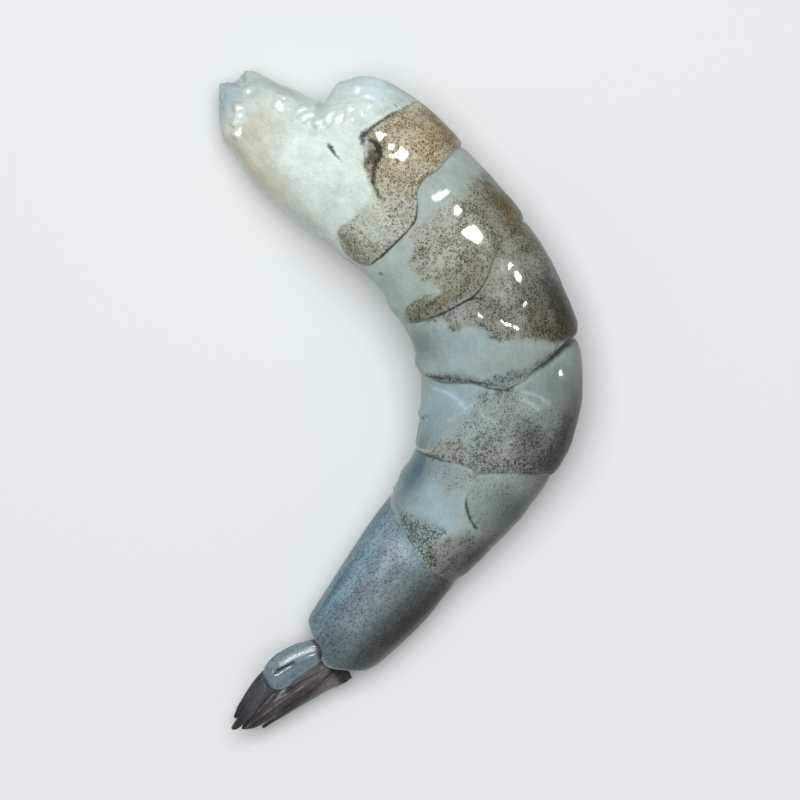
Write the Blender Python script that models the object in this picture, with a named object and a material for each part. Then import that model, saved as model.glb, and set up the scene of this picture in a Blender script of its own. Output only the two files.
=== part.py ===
"""A raw peeled shrimp with its tail left on, lying on its side and curled as it lies when raw.

Metres, +Z up. The back faces +X, the belly -X, the cut head end +Y and the tail fan -Y.
The body is lofted along its own curved axis. Three numbers place a point on it: "along" runs down
the axis from the cut end, "back" runs across it from belly (-1) to back (+1), and "up" from the
flank that lies underneath (-1) to the one that faces up (+1).
"""
import math
from typing import NamedTuple

import bmesh
import bpy
from mathutils import Matrix, Vector

MM = 0.001

# Driving dimensions, in millimetres and degrees.
CUT_END = (-22.14, 37.89)    # x, y of the tip of the flesh lobe at the cut end
AXIS_STEP = 0.25             # step used to walk along the curved axis
RING_POINTS = 46             # points round each body ring
RING_SPACING = 1.3           # usual distance between body rings
TIP_ROUNDING = 3.2           # length over which the cut end closes to a blunt tip
SECTION_POWER = 2.25         # 2 is an ellipse, more is squarer
SINK = 0.45                  # how far the soft flank is pressed flat where it lies

SKIRT_RISE = 0.3             # each segment stands proud at its rear edge
SKIRT_LENGTH = 4.2
GROOVE_DEPTH = 0.5           # and drops into a fold behind that edge
GROOVE_LENGTH = 1.5
BELLY_GROOVE_DEPTH = 1.3     # channel down the middle of the belly
BELLY_GROOVE_WIDTH = 2.6
BELLY_GROOVE_SPAN = (14.0, 76.6)   # it fades in and out within these distances along the axis
BELLY_GROOVE_FADE = 7.0
BELLY_CALM = 0.75            # share of the segments' relief that fades out on the belly
STEP_AT_SHELL = 0.35         # the tail shell starts this much inside the flesh
STEP_LENGTH = 5.0            # and comes back to full size over this length
SHELL_RIM_RADIUS = 1.3       # rounding round the shell's flat rear face
SHELL_RIM_TURNS = 4
NODE_GAP = 0.3               # clearance between neighbouring solids

TAIL_SHELL_START = 76.6
TAIL_SHELL_END = 94.2
FAN_START = TAIL_SHELL_END + NODE_GAP
BLADE_RINGS = 14
BLADE_POINTS = 12
ROOT_SWELL = 0.9             # extra thickness of the stout root of each fan blade


class Station(NamedTuple):
    """The body at one distance along its axis: heading in degrees, the rest in millimetres."""

    along: float
    heading: float
    back: float
    belly: float
    flank: float


STATIONS = (
    Station(0.0, -22, 4.2, 3.2, 3.4),
    Station(2.4, -34, 5.1, 4.2, 4.2),
    Station(5.0, -38, 5.6, 5.2, 5.0),
    Station(9.5, -33, 6.1, 6.6, 6.2),
    Station(12.0, -23, 7.0, 7.6, 7.0),
    Station(14.3, -16, 9.0, 9.0, 7.8),
    Station(16.7, -17, 10.6, 10.0, 8.4),
    Station(19.5, -28, 11.1, 10.4, 8.8),
    Station(24.0, -41, 10.5, 10.4, 9.0),
    Station(33.0, -50, 10.1, 10.2, 9.0),
    Station(43.0, -66.5, 10.3, 10.4, 9.0),
    Station(52.5, -90, 10.6, 10.3, 8.8),
    Station(57.5, -103, 10.0, 9.9, 8.3),
    Station(62.0, -116, 8.9, 9.2, 7.6),
    Station(67.0, -124, 8.0, 8.1, 6.8),
    Station(72.0, -128, 7.3, 7.1, 6.1),
    Station(77.0, -129, 6.8, 6.6, 5.7),
    Station(84.0, -130, 6.4, 5.8, 5.3),
    Station(91.0, -131, 5.5, 4.9, 4.7),
    Station(95.0, -131, 4.8, 4.5, 4.3),
)


class Edge(NamedTuple):
    """The rear edge of a body segment. Lean slants it across the body and bow curves it."""

    along: float
    lean: float
    bow: float
    strength: float


EDGES = (
    Edge(0.0, 0.0, 0.0, 0.0),
    Edge(18.0, -0.6, -1.6, 0.0),
    Edge(29.0, -0.8, -2.7, 1.0),
    Edge(40.7, -1.6, -2.9, 1.0),
    Edge(53.3, -1.2, -3.6, 1.0),
    Edge(64.1, -2.6, -0.8, 0.75),
    Edge(76.4, 1.8, -1.9, 0.9),
    Edge(88.0, 0.3, -0.4, 0.0),
    Edge(95.0, 0.0, 0.0, 0.0),
)


class Lobe(NamedTuple):
    """A soft swelling of the flesh, placed along the axis and round the body from the back."""

    along: float
    round_from_back: float
    length: float
    spread: float
    rise: float


LOBES = (
    Lobe(0.9, 175, 2.2, 75, 0.9),     # blunt lower corner of the cut end
    Lobe(3.4, 12, 2.2, 40, 0.8),      # peak on the front rim of the cut end
    Lobe(8.5, 62, 3.0, 34, 0.8),      # ridge running back from it
    Lobe(12.4, 20, 1.8, 40, -0.7),    # notch between the two head lobes
    Lobe(18.5, 24, 2.8, 36, 0.9),     # second lobe, at the back
    Lobe(17.0, 128, 4.2, 42, 0.7),    # full belly of the head flesh
    Lobe(23.4, 84, 1.2, 30, -0.5),    # crease where the first shell sat
    Lobe(6.0, -70, 3.0, 40, 0.6),
    Lobe(16.0, -110, 4.0, 45, 0.6),
    Lobe(57.0, 122, 3.4, 30, 0.35),
    Lobe(70.5, 118, 3.0, 34, 0.45),
)


class Blade(NamedTuple):
    """One plate of the tail fan. Its root is placed on the end of the tail, across and up."""

    name: str
    root_back: float
    root_up: float
    heading: float
    pitch: float
    roll: float
    length: float
    width: float
    thickness: float
    widest: float
    cup: float


BLADES = (
    Blade("telson", 3.2, 0.0, -145.5, 0.0, 90, 12.0, 2.8, 1.1, 0.12, 0.25),
    Blade("uropod_outer_upper", -1.3, 2.45, -138.0, -4.0, -48, 14.6, 5.0, 0.85, 0.45, 0.45),
    Blade("uropod_inner_upper", 0.9, 1.9, -141.0, -2.0, -60, 12.4, 3.8, 0.75, 0.5, 0.3),
    Blade("uropod_outer_lower", -1.6, -2.0, -139.5, 3.0, 33, 13.2, 4.8, 0.85, 0.45, -0.4),
    Blade("uropod_inner_lower", 0.7, -1.9, -139.5, 2.0, 60, 12.2, 3.6, 0.75, 0.5, -0.3),
)


def clear_scene():
    for existing in list(bpy.data.objects):
        bpy.data.objects.remove(existing, do_unlink=True)


def between(rows, column, along):
    """A column of the rows at this distance along the axis, on a smooth curve through them."""
    if along <= rows[0].along:
        return rows[0][column]
    if along >= rows[-1].along:
        return rows[-1][column]
    last = len(rows) - 1
    i = max(n for n in range(last) if rows[n].along <= along)
    low, high = rows[i], rows[i + 1]
    before, after = rows[max(i - 1, 0)], rows[min(i + 2, last)]
    span = high.along - low.along
    t = (along - low.along) / span
    leave = (high[column] - before[column]) / (high.along - before.along) * span
    arrive = (after[column] - low[column]) / (after.along - low.along) * span
    return (
        (2 * t**3 - 3 * t**2 + 1) * low[column]
        + (t**3 - 2 * t**2 + t) * leave
        + (3 * t**2 - 2 * t**3) * high[column]
        + (t**3 - t**2) * arrive
    )


def walk_axis():
    """Points of the curved axis in plan, one every AXIS_STEP, found by following the heading."""
    x, y = CUT_END
    points = [(x, y)]
    for step in range(int((STATIONS[-1].along + 6) / AXIS_STEP)):
        heading = math.radians(between(STATIONS, 1, (step + 0.5) * AXIS_STEP))
        x += AXIS_STEP * math.cos(heading)
        y += AXIS_STEP * math.sin(heading)
        points.append((x, y))
    return points


AXIS = walk_axis()


def axis_frame(along):
    """Point on the axis, and the directions along it and towards the back, all in plan."""
    place = min(max(along / AXIS_STEP, 0.0), len(AXIS) - 1.001)
    i = int(place)
    part = place - i
    x = AXIS[i][0] * (1 - part) + AXIS[i + 1][0] * part
    y = AXIS[i][1] * (1 - part) + AXIS[i + 1][1] * part
    heading = math.radians(between(STATIONS, 1, along))
    ahead = Vector((math.cos(heading), math.sin(heading), 0))
    to_back = Vector((-math.sin(heading), math.cos(heading), 0))
    return Vector((x, y, 0)), ahead, to_back


def bell(distance, width):
    return math.exp(-((distance / width) ** 2))


def turn_between(angle, other):
    """The smaller angle between two directions round the body, in degrees."""
    return abs((angle - other + 180) % 360 - 180)


def segment_relief(along):
    """Height of the overlapping segments: a rise up to each rear edge, then a fold."""
    height = 0.0
    for edge in EDGES:
        past = along - edge.along
        if past <= 0:
            height += edge.strength * SKIRT_RISE * bell(past, SKIRT_LENGTH)
        else:
            height -= edge.strength * GROOVE_DEPTH * bell(past - 0.5, GROOVE_LENGTH)
    return height


def skin_relief(along, degrees, across, up):
    """How far the skin stands out from the plain section, in millimetres."""
    height = segment_relief(along) * (1 - BELLY_CALM * bell(turn_between(degrees, 180), 50))
    for lobe in LOBES:
        apart = turn_between(degrees, lobe.round_from_back)
        height += lobe.rise * bell(along - lobe.along, lobe.length) * bell(apart, lobe.spread)
    if across < 0:
        first, last = BELLY_GROOVE_SPAN
        fade_in = min(max((along - first) / BELLY_GROOVE_FADE, 0), 1)
        fade_out = min(max((last - along) / BELLY_GROOVE_FADE, 0), 1)
        height -= fade_in * fade_out * BELLY_GROOVE_DEPTH * bell(up, BELLY_GROOVE_WIDTH)
    return height


def body_point(along, degrees, shrink, with_relief=True):
    """A point on the skin. Degrees run round the body from the back, over the upper flank."""
    turn = math.radians(degrees)
    c, s = math.cos(turn), math.sin(turn)
    reach = (abs(c) ** SECTION_POWER + abs(s) ** SECTION_POWER) ** (-1 / SECTION_POWER)
    across, rise = c * reach, s * reach
    lean = between(EDGES, 1, along)
    bow = between(EDGES, 2, along)
    here = along + lean * across * shrink + bow * (across * shrink) ** 2
    here = max(here, 0.0)
    depth = between(STATIONS, 2 if across > 0 else 3, here)
    flank = between(STATIONS, 4, here)
    out_back, out_up = across * depth, rise * flank
    if with_relief:
        relief = skin_relief(along, degrees, across, out_up)
        size = math.hypot(out_back, out_up)
        out_back += relief * out_back / size
        out_up += relief * out_up / size
    centre, _, to_back = axis_frame(here)
    point = centre + to_back * out_back * shrink
    point.z = flank - SINK + out_up * shrink
    return point * MM


def ring_places(start, end, rounded_start):
    """Distances of the rings from start to end, closer at each segment's edge and at a tip."""
    places = []
    if rounded_start:
        places += [start + TIP_ROUNDING * part for part in (0.03, 0.12, 0.27, 0.48, 0.72)]
        start += TIP_ROUNDING
    corners = [start]
    for edge in EDGES:
        if edge.strength and start < edge.along < end - 1.5:
            corners += [edge.along - 0.35, edge.along + 0.35]
    corners.append(end)
    for low, high in zip(corners[:-1], corners[1:]):
        count = max(1, round((high - low) / RING_SPACING))
        places += [low + (high - low) * n / count for n in range(count)]
    places.append(end)
    return places


def bridge_rings(work, rings):
    """Skins neighbouring rings of vertices with quads."""
    for first, second in zip(rings[:-1], rings[1:]):
        count = len(first)
        for n in range(count):
            m = (n + 1) % count
            work.faces.new((first[n], first[m], second[m], second[n]))


def close_ring(work, ring, point):
    """Closes a ring with triangles that meet in one vertex."""
    tip = work.verts.new(point)
    for n in range(len(ring)):
        work.faces.new((ring[n], ring[(n + 1) % len(ring)], tip))


def lie_flat(work):
    """Cuts the solid off at the surface that it lies on, and closes the cut with a flat face."""
    everything = list(work.verts) + list(work.edges) + list(work.faces)
    cut = bmesh.ops.bisect_plane(
        work, geom=everything, dist=1e-7, plane_co=(0, 0, 0), plane_no=(0, 0, 1), clear_inner=True
    )
    rim = [piece for piece in cut["geom_cut"] if isinstance(piece, bmesh.types.BMEdge)]
    if rim:
        bmesh.ops.holes_fill(work, edges=rim)


def finish_object(name, work, material, sharp_angle):
    """Makes the mesh an object with outward normals, one material and smooth shading."""
    bmesh.ops.recalc_face_normals(work, faces=work.faces)
    mesh = bpy.data.meshes.new(name)
    work.to_mesh(mesh)
    work.free()
    mesh.materials.append(material)
    mesh.shade_smooth()
    mesh.set_sharp_from_angle(angle=math.radians(sharp_angle))
    made = bpy.data.objects.new(name, mesh)
    bpy.context.scene.collection.objects.link(made)
    return made


def principled(name, colour, roughness, coat):
    """A wet, non-metallic surface of one linear colour."""
    material = bpy.data.materials.new(name)
    material.use_nodes = True
    shader = material.node_tree.nodes["Principled BSDF"]
    shader.inputs["Base Color"].default_value = (*colour, 1)
    shader.inputs["Metallic"].default_value = 0.0
    shader.inputs["Roughness"].default_value = roughness
    shader.inputs["Coat Weight"].default_value = coat
    material.diffuse_color = (*colour, 1)
    return material


def make_flesh(material):
    """The peeled body: head flesh and five segments, one soft solid."""
    work = bmesh.new()
    rings = []
    end = TAIL_SHELL_START - NODE_GAP
    for along in ring_places(0.0, end, rounded_start=True):
        round_tip = 1 - min(along / TIP_ROUNDING, 1)
        shrink = math.sqrt(1 - round_tip**2)
        ring = [
            work.verts.new(body_point(along, 360 * n / RING_POINTS, shrink))
            for n in range(RING_POINTS)
        ]
        rings.append(ring)
    bridge_rings(work, rings)
    close_ring(work, rings[0], body_point(0.0, 0, 0, with_relief=False))
    close_ring(work, rings[-1], body_point(end, 0, 0, with_relief=False))
    lie_flat(work)
    return finish_object("flesh", work, material, sharp_angle=60)


def make_tail_shell(material):
    """The last segment, still in its smooth shell, which ends in a flat face with a round rim."""
    work = bmesh.new()
    rings = []
    rim_start = TAIL_SHELL_END - SHELL_RIM_RADIUS
    straight = ring_places(TAIL_SHELL_START, rim_start, rounded_start=False)
    places = [(along, 0.0) for along in straight]
    for n in range(1, SHELL_RIM_TURNS + 1):
        turn = math.radians(90 * n / SHELL_RIM_TURNS)
        inset = SHELL_RIM_RADIUS * (1 - math.cos(turn))
        places.append((rim_start + SHELL_RIM_RADIUS * math.sin(turn), inset))
    for along, inset in places:
        start_step = STEP_AT_SHELL * bell(along - TAIL_SHELL_START, STEP_LENGTH)
        depth = between(STATIONS, 2, along)
        shrink = (depth - inset - start_step) / depth
        rings.append([
            work.verts.new(body_point(along, 360 * n / RING_POINTS, shrink, with_relief=False))
            for n in range(RING_POINTS)
        ])
    bridge_rings(work, rings)
    close_ring(work, rings[0], body_point(TAIL_SHELL_START, 0, 0, with_relief=False))
    close_ring(work, rings[-1], body_point(TAIL_SHELL_END, 0, 0, with_relief=False))
    lie_flat(work)
    return finish_object("tail_shell", work, material, sharp_angle=50)


def blade_half_width(blade, part):
    """Half the width at this part of the length: narrow root, widest place, pointed tip."""
    root_share = 0.42
    if part < blade.widest:
        rise = math.sin(math.pi / 2 * part / blade.widest)
        share = root_share + (1 - root_share) * rise
    else:
        past = (part - blade.widest) / (1 - blade.widest)
        share = (1 - past**2.1) ** 0.8
    return blade.width / 2 * share


def make_blade(blade, material):
    """A thin cupped plate, lens-shaped across, thick at its root and fine at its tip."""
    work = bmesh.new()
    rings = []
    for n in range(BLADE_RINGS):
        part = (n / BLADE_RINGS) ** 0.9
        half = blade_half_width(blade, part)
        thick = blade.thickness * (1.2 - 0.8 * part) + ROOT_SWELL * bell(part, 0.17)
        ring = []
        for k in range(BLADE_POINTS):
            turn = 2 * math.pi * k / BLADE_POINTS
            side = half * math.cos(turn)
            cupped = blade.cup * (1 - (side / (blade.width / 2)) ** 2) * part
            ring.append(work.verts.new(
                Vector((blade.length * part, side, cupped + thick / 2 * math.sin(turn))) * MM
            ))
        rings.append(ring)
    bridge_rings(work, rings)
    close_ring(work, rings[0], (0, 0, 0))
    close_ring(work, rings[-1], Vector((blade.length, 0, 0)) * MM)
    centre, ahead, to_back = axis_frame(FAN_START)
    middle = between(STATIONS, 4, FAN_START) - SINK
    root = (centre + to_back * blade.root_back) * MM
    root.z = (middle + blade.root_up) * MM
    place = (
        Matrix.Translation(root)
        @ Matrix.Rotation(math.radians(blade.heading), 4, "Z")
        @ Matrix.Rotation(math.radians(-blade.pitch), 4, "Y")
        @ Matrix.Rotation(math.radians(blade.roll), 4, "X")
    )
    bmesh.ops.transform(work, matrix=place, verts=work.verts)
    return finish_object(blade.name, work, material, sharp_angle=60)


def main():
    clear_scene()
    raw_flesh = principled("raw_flesh", (0.42, 0.46, 0.42), 0.28, 0.6)
    tail_cuticle = principled("tail_cuticle", (0.17, 0.21, 0.23), 0.32, 0.5)
    fan_cuticle = principled("fan_cuticle", (0.12, 0.14, 0.16), 0.3, 0.5)
    make_flesh(raw_flesh)
    make_tail_shell(tail_cuticle)
    for blade in BLADES:
        make_blade(blade, fan_cuticle)


main()
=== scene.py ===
# %% [markdown]
# # A raw peeled shrimp with its tail left on
#
# The real thing is soft, wet and slightly see-through. Its head was cut off, which leaves milky
# lobes of muscle at one end. Its shell was peeled off, so the thin skin under it shows, with bands
# of tiny dark pigment spots on each segment. Only the last segment keeps its smooth shell, and the
# tail fan behind it.
#
# The plan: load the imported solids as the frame, write down the shrimp's own plan (a curved axis with
# a section at each place), shape each piece on that plan, paint it point by point in body
# coordinates, and let shaders add what is finer than the mesh.

# %% Load the frame
import math
from typing import NamedTuple

import bpy
import numpy as np
from mathutils import Matrix, Vector, noise


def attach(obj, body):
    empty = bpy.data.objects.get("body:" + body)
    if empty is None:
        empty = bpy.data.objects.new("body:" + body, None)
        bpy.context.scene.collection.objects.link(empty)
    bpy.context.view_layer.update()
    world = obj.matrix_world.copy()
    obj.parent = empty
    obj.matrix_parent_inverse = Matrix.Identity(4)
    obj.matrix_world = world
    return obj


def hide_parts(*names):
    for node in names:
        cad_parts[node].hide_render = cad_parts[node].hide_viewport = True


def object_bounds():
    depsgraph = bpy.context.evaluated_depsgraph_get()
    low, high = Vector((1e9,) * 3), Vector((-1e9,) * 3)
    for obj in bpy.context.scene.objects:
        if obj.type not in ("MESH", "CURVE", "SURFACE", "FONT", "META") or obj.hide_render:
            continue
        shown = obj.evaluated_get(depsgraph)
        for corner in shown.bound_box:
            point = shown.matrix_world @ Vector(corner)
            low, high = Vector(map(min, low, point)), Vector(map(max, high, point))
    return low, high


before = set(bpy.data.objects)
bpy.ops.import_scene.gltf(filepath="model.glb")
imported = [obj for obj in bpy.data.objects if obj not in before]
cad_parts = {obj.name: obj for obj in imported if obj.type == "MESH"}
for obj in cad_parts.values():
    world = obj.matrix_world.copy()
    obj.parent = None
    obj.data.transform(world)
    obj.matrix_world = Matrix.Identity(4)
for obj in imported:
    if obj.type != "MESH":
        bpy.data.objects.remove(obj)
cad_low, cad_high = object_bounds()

MM = 0.001
print("CAD box in mm:", [round(v / MM, 2) for v in (*cad_low, *cad_high)])

# %% [markdown]
# ## A few hand tools
#
# Operators act on whatever is selected, and loading leaves the CAD nodes selected. So every step
# starts by letting go of everything. Points are read and written in millimetres, as arrays, because
# there are more of them than a loop would handle in good time.

# %% Hand tools


def take(piece):
    """Selects one object alone and makes it active."""
    bpy.ops.object.select_all(action="DESELECT")
    piece.select_set(True)
    bpy.context.view_layer.objects.active = piece


def just_added(name):
    """The object that an operator has just added, under a name of its own."""
    piece = bpy.context.object
    piece.name = piece.data.name = name
    return piece


def read_points(piece):
    """The object's points in millimetres, as an array."""
    flat = np.zeros(len(piece.data.vertices) * 3)
    piece.data.vertices.foreach_get("co", flat)
    return flat.reshape(-1, 3) / MM


def move_points(piece, points):
    """Moves the object's points to these places in millimetres."""
    piece.data.vertices.foreach_set("co", (points * MM).ravel())
    piece.data.update()


def inside_box(points, soft=0.25):
    """Draws points that pass the CAD box back inside it, softly, so that no flat face shows."""
    low, high = np.array(cad_low) / MM, np.array(cad_high) / MM
    middle, reach = (low + high) / 2, (high - low) / 2
    off = points - middle
    over = np.maximum(np.abs(off) - (reach - soft), 0)
    pulled = np.sign(off) * (reach - soft + soft * np.tanh(over / soft))
    points = middle + np.where(over > 0, pulled, off)
    points[:, 2] = np.maximum(points[:, 2], 0)
    return points


def set_shape(piece, points):
    """Gives a piece its final points, inside the CAD box, and shades it smooth."""
    points = inside_box(points)
    move_points(piece, points)
    take(piece)
    bpy.ops.object.shade_smooth()
    print(piece.name, "from", np.round(points.min(0), 2), "to", np.round(points.max(0), 2), "mm")


def bell(distance, width):
    """1 at distance 0, falling away smoothly over the width."""
    return np.exp(-((distance / width) ** 2))


def ramp(low, high, value):
    """0 up to low, 1 from high on, and smooth between."""
    t = np.clip((value - low) / (high - low), 0, 1)
    return t * t * (3 - 2 * t)


def blend(under, over, part):
    """The second in place of the first, as far as the part from 0 to 1 says."""
    return under * (1 - part) + over * part


def lumps(points, size, octaves, seed):
    """Smooth random relief from about -1 to 1, with lumps of this size in millimetres."""
    shift = Vector((seed * 13.7, seed * -7.1, seed * 3.3))
    return np.array([noise.fractal(Vector(p) / size + shift, 0.9, 2.0, octaves) for p in points])


print("half way up a ramp from 0 to 1:", ramp(0, 1, 0.5))

# %% [markdown]
# ## The plan of the body
#
# A shrimp is a row of segments on a curved axis. The plan holds, at each distance along the axis,
# its heading and how far the body reaches to the back, to the belly and to each flank. These are the
# numbers of the solids, so whatever is shaped on them lies where the solids lie.

# %% Stations along the axis
CUT_END = (-22.14, 37.89)
AXIS_STEP = 0.25
SINK = 0.45               # how much of the lower flank its weight presses flat

STATIONS = np.array((
    # along, heading, back, belly, flank
    (0.0, -22, 4.2, 3.2, 3.4),
    (2.4, -34, 5.1, 4.2, 4.2),
    (5.0, -38, 5.6, 5.2, 5.0),
    (9.5, -33, 6.1, 6.6, 6.2),
    (12.0, -23, 7.0, 7.6, 7.0),
    (14.3, -16, 9.0, 9.0, 7.8),
    (16.7, -17, 10.6, 10.0, 8.4),
    (19.5, -28, 11.1, 10.4, 8.8),
    (24.0, -41, 10.5, 10.4, 9.0),
    (33.0, -50, 10.1, 10.2, 9.0),
    (43.0, -66.5, 10.3, 10.4, 9.0),
    (52.5, -90, 10.6, 10.3, 8.8),
    (57.5, -103, 10.0, 9.9, 8.3),
    (62.0, -116, 8.9, 9.2, 7.6),
    (67.0, -124, 8.0, 8.1, 6.8),
    (72.0, -128, 7.3, 7.1, 6.1),
    (77.0, -129, 6.8, 6.6, 5.7),
    (84.0, -130, 6.4, 5.8, 5.3),
    (91.0, -131, 5.5, 4.9, 4.7),
    (95.0, -131, 4.8, 4.5, 4.3),
))
HEADING, BACK, BELLY, FLANK = 1, 2, 3, 4


def between(rows, column, place):
    """A column of the rows at these places of the first column, on a smooth curve through them."""
    rows = np.asarray(rows, float)
    place = np.clip(place, rows[0, 0], rows[-1, 0])
    last = len(rows) - 1
    low = np.clip(np.searchsorted(rows[:, 0], place, side="right") - 1, 0, last - 1)
    before, high, after = np.maximum(low - 1, 0), low + 1, np.minimum(low + 2, last)
    span = rows[high, 0] - rows[low, 0]
    t = (place - rows[low, 0]) / span
    leave = (rows[high, column] - rows[before, column]) / (rows[high, 0] - rows[before, 0]) * span
    arrive = (rows[after, column] - rows[low, column]) / (rows[after, 0] - rows[low, 0]) * span
    return (
        (2 * t**3 - 3 * t**2 + 1) * rows[low, column]
        + (t**3 - 2 * t**2 + t) * leave
        + (3 * t**2 - 2 * t**3) * rows[high, column]
        + (t**3 - t**2) * arrive
    )


AXIS_ALONG = np.arange(0, STATIONS[-1, 0] + 6, AXIS_STEP)
middles = np.radians(between(STATIONS, HEADING, AXIS_ALONG[:-1] + AXIS_STEP / 2))
AXIS_X = CUT_END[0] + np.concatenate(([0], np.cumsum(AXIS_STEP * np.cos(middles))))
AXIS_Y = CUT_END[1] + np.concatenate(([0], np.cumsum(AXIS_STEP * np.sin(middles))))


def on_body(along, out_back, out_up):
    """Points beside the axis: out_back towards the back and out_up towards the upper flank."""
    turn = np.radians(between(STATIONS, HEADING, along))
    before_cut = np.minimum(along, 0)
    x = np.interp(along, AXIS_ALONG, AXIS_X) + np.cos(turn) * before_cut - np.sin(turn) * out_back
    y = np.interp(along, AXIS_ALONG, AXIS_Y) + np.sin(turn) * before_cut + np.cos(turn) * out_back
    z = between(STATIONS, FLANK, along) - SINK + out_up
    return np.stack([x, y, z], axis=-1)


def depth_at(along, across):
    """How far the body reaches to the back, or to the belly where across is negative."""
    return np.where(across > 0, between(STATIONS, BACK, along), between(STATIONS, BELLY, along))


print("axis ends at", round(AXIS_X[-1], 1), round(AXIS_Y[-1], 1), "mm")

# %% [markdown]
# ## Folds between the segments
#
# Each segment overlapped the next one under the shell, and its rear edge is still a fold, often with
# a thin dark line. Such an edge isn't straight: it runs forward at the back, bulges over the flank and
# ends in a round lobe near the belly. Across is 1 at the back, 0 along the flank and -1 at the belly.

# %% Fold lines


class Fold(NamedTuple):
    """A segment's rear edge: where it runs, and how deep it is, both given at places across."""

    ring: float
    course: tuple
    depth: tuple = ((-1, 0.0), (1, 0.0))


FOLDS = (
    Fold(0.0, ((-1, 0.0), (1, 0.0))),
    Fold(18.0, ((-1, 17.0), (-0.5, 17.9), (0, 18.0), (0.5, 17.3), (1, 15.8))),
    Fold(
        29.0,
        ((-1, 27.6), (-0.9, 28.6), (-0.8, 29.3), (-0.48, 29.6), (-0.24, 29.7), (-0.08, 29.3),
         (0.06, 28.3), (0.17, 27.1), (0.34, 26.7), (0.55, 26.8), (1, 26.5)),
        ((-1, 0.1), (-0.85, 0.5), (-0.4, 0.8), (0, 0.8), (0.3, 0.9), (1, 0.75)),
    ),
    Fold(
        40.7,
        ((-1, 39.2), (-0.9, 39.9), (-0.8, 40.6), (-0.53, 41.4), (-0.29, 41.6), (-0.09, 41.4),
         (0.06, 40.8), (0.25, 39.6), (0.39, 38.5), (0.6, 37.6), (1, 36.7)),
        ((-1, 0.1), (-0.85, 0.5), (-0.4, 0.8), (0, 0.7), (0.4, 0.75), (1, 0.85)),
    ),
    Fold(
        53.3,
        ((-1, 49.8), (-0.85, 51.2), (-0.7, 52.3), (-0.45, 52.6), (-0.25, 52.9), (-0.1, 53.4),
         (0.1, 53.4), (0.3, 52.4), (0.48, 51.0), (0.7, 49.6), (1, 48.2)),
        ((-1, 0.1), (-0.85, 0.6), (-0.4, 0.55), (0, 0.5), (0.3, 0.5), (0.5, 1.0), (1, 1.25)),
    ),
    Fold(
        64.1,
        ((-1, 65.3), (-0.8, 65.7), (-0.6, 65.3), (-0.45, 64.9), (-0.28, 64.3), (-0.1, 63.9),
         (0.1, 63.8), (0.22, 63.3), (0.5, 62.2), (0.72, 61.4), (1, 60.6)),
        ((-1, 0.1), (-0.8, 0.8), (-0.4, 0.65), (0, 0.5), (0.3, 0.45), (1, 0.7)),
    ),
    Fold(76.4, ((-1, 72.7), (-0.6, 74.6), (-0.25, 75.5), (0, 76.2), (0.2, 76.7), (0.5, 76.8), (1, 76.3))),
    Fold(95.0, ((-1, 95.0), (1, 95.0))),
)
FREE_FOLDS = FOLDS[2:6]   # the four between the peeled segments
RINGS_OF_FOLDS = np.array([fold.ring for fold in FOLDS])


def shift_to_folds(ring, across):
    """How far along the axis a ring of the mesh bends at each place across, to follow the folds."""
    shifts = np.array([between(fold.course, 1, across) - fold.ring for fold in FOLDS])
    low = np.clip(np.searchsorted(RINGS_OF_FOLDS, ring, side="right") - 1, 0, len(FOLDS) - 2)
    share = (ring - RINGS_OF_FOLDS[low]) / (RINGS_OF_FOLDS[low + 1] - RINGS_OF_FOLDS[low])
    points = np.arange(len(ring))
    return shifts[low, points] * (1 - share) + shifts[low + 1, points] * share


print(len(FREE_FOLDS), "folds between the peeled segments")

# %% [markdown]
# ## A blank to sculpt from
#
# A ball is a good blank for a body like this: it is closed, its two poles become the two ends, and
# its rings become cross sections. Its rings are set close together at the folds, where the surface
# turns sharply, and further apart where it is smooth.

# %% Blanks


def new_ball(name, segments, rings):
    """A ball, with each point's ring number from 0 to rings and its turn round the axis."""
    bpy.ops.object.select_all(action="DESELECT")
    bpy.ops.mesh.primitive_uv_sphere_add(segments=segments, ring_count=rings, radius=1)
    ball = just_added(name)
    points = read_points(ball) * MM
    ring = np.rint(np.arccos(np.clip(points[:, 2], -1, 1)) / math.pi * rings)
    turn = -np.arctan2(points[:, 1], points[:, 0])      # this way round keeps the faces outwards
    return ball, ring, turn


def spread_rings(count, start, end, usual, fine, fine_places, fine_reach):
    """Places of count + 1 rings from start to end, closer together at the fine places."""
    places = np.arange(start, end, 0.01)
    spacing = np.full(len(places), float(usual))
    for place in fine_places:
        near = bell(places - place, fine_reach)
        spacing = blend(spacing, fine, near)
    passed = np.cumsum(1 / spacing)
    passed = (passed - passed[0]) / (passed[-1] - passed[0])
    return np.interp(np.arange(count + 1) / count, passed, places)


FLESH_SEGMENTS = 250
FLESH_RINGS = 396
TIP_ROUNDING = 2.6
TIP_RINGS = 26            # rings on the rounded cut end
FLESH_END = 76.3
TONGUE_END = 78.6         # the flesh goes on this far, inside the tail shell
RING_SPACING = 0.22
FINE_SPACING = 0.09
FINE_PLACES = (16.3, *RINGS_OF_FOLDS[2:7])      # a slit in the head flesh, and the folds
FINE_REACH = 0.7

flesh, flesh_ring, flesh_turn = new_ball("shrimp_flesh", FLESH_SEGMENTS, FLESH_RINGS)
bend = np.arange(TIP_RINGS) / TIP_RINGS * math.pi / 2
body_rings = spread_rings(
    FLESH_RINGS - TIP_RINGS, TIP_ROUNDING, TONGUE_END, RING_SPACING, FINE_SPACING, FINE_PLACES, FINE_REACH
)
ring_places = np.concatenate((TIP_ROUNDING * (1 - np.cos(bend)), body_rings))
print(len(flesh.data.vertices), "points in the flesh blank")

# %% [markdown]
# ## The big form
#
# First the lengths and girths, then the soft swellings: two lobes at the cut end with a notch between
# them, the full belly behind, a channel down the middle of the belly. The flank that it lies on is
# pressed flat by its own weight.

# %% Body sections


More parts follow.
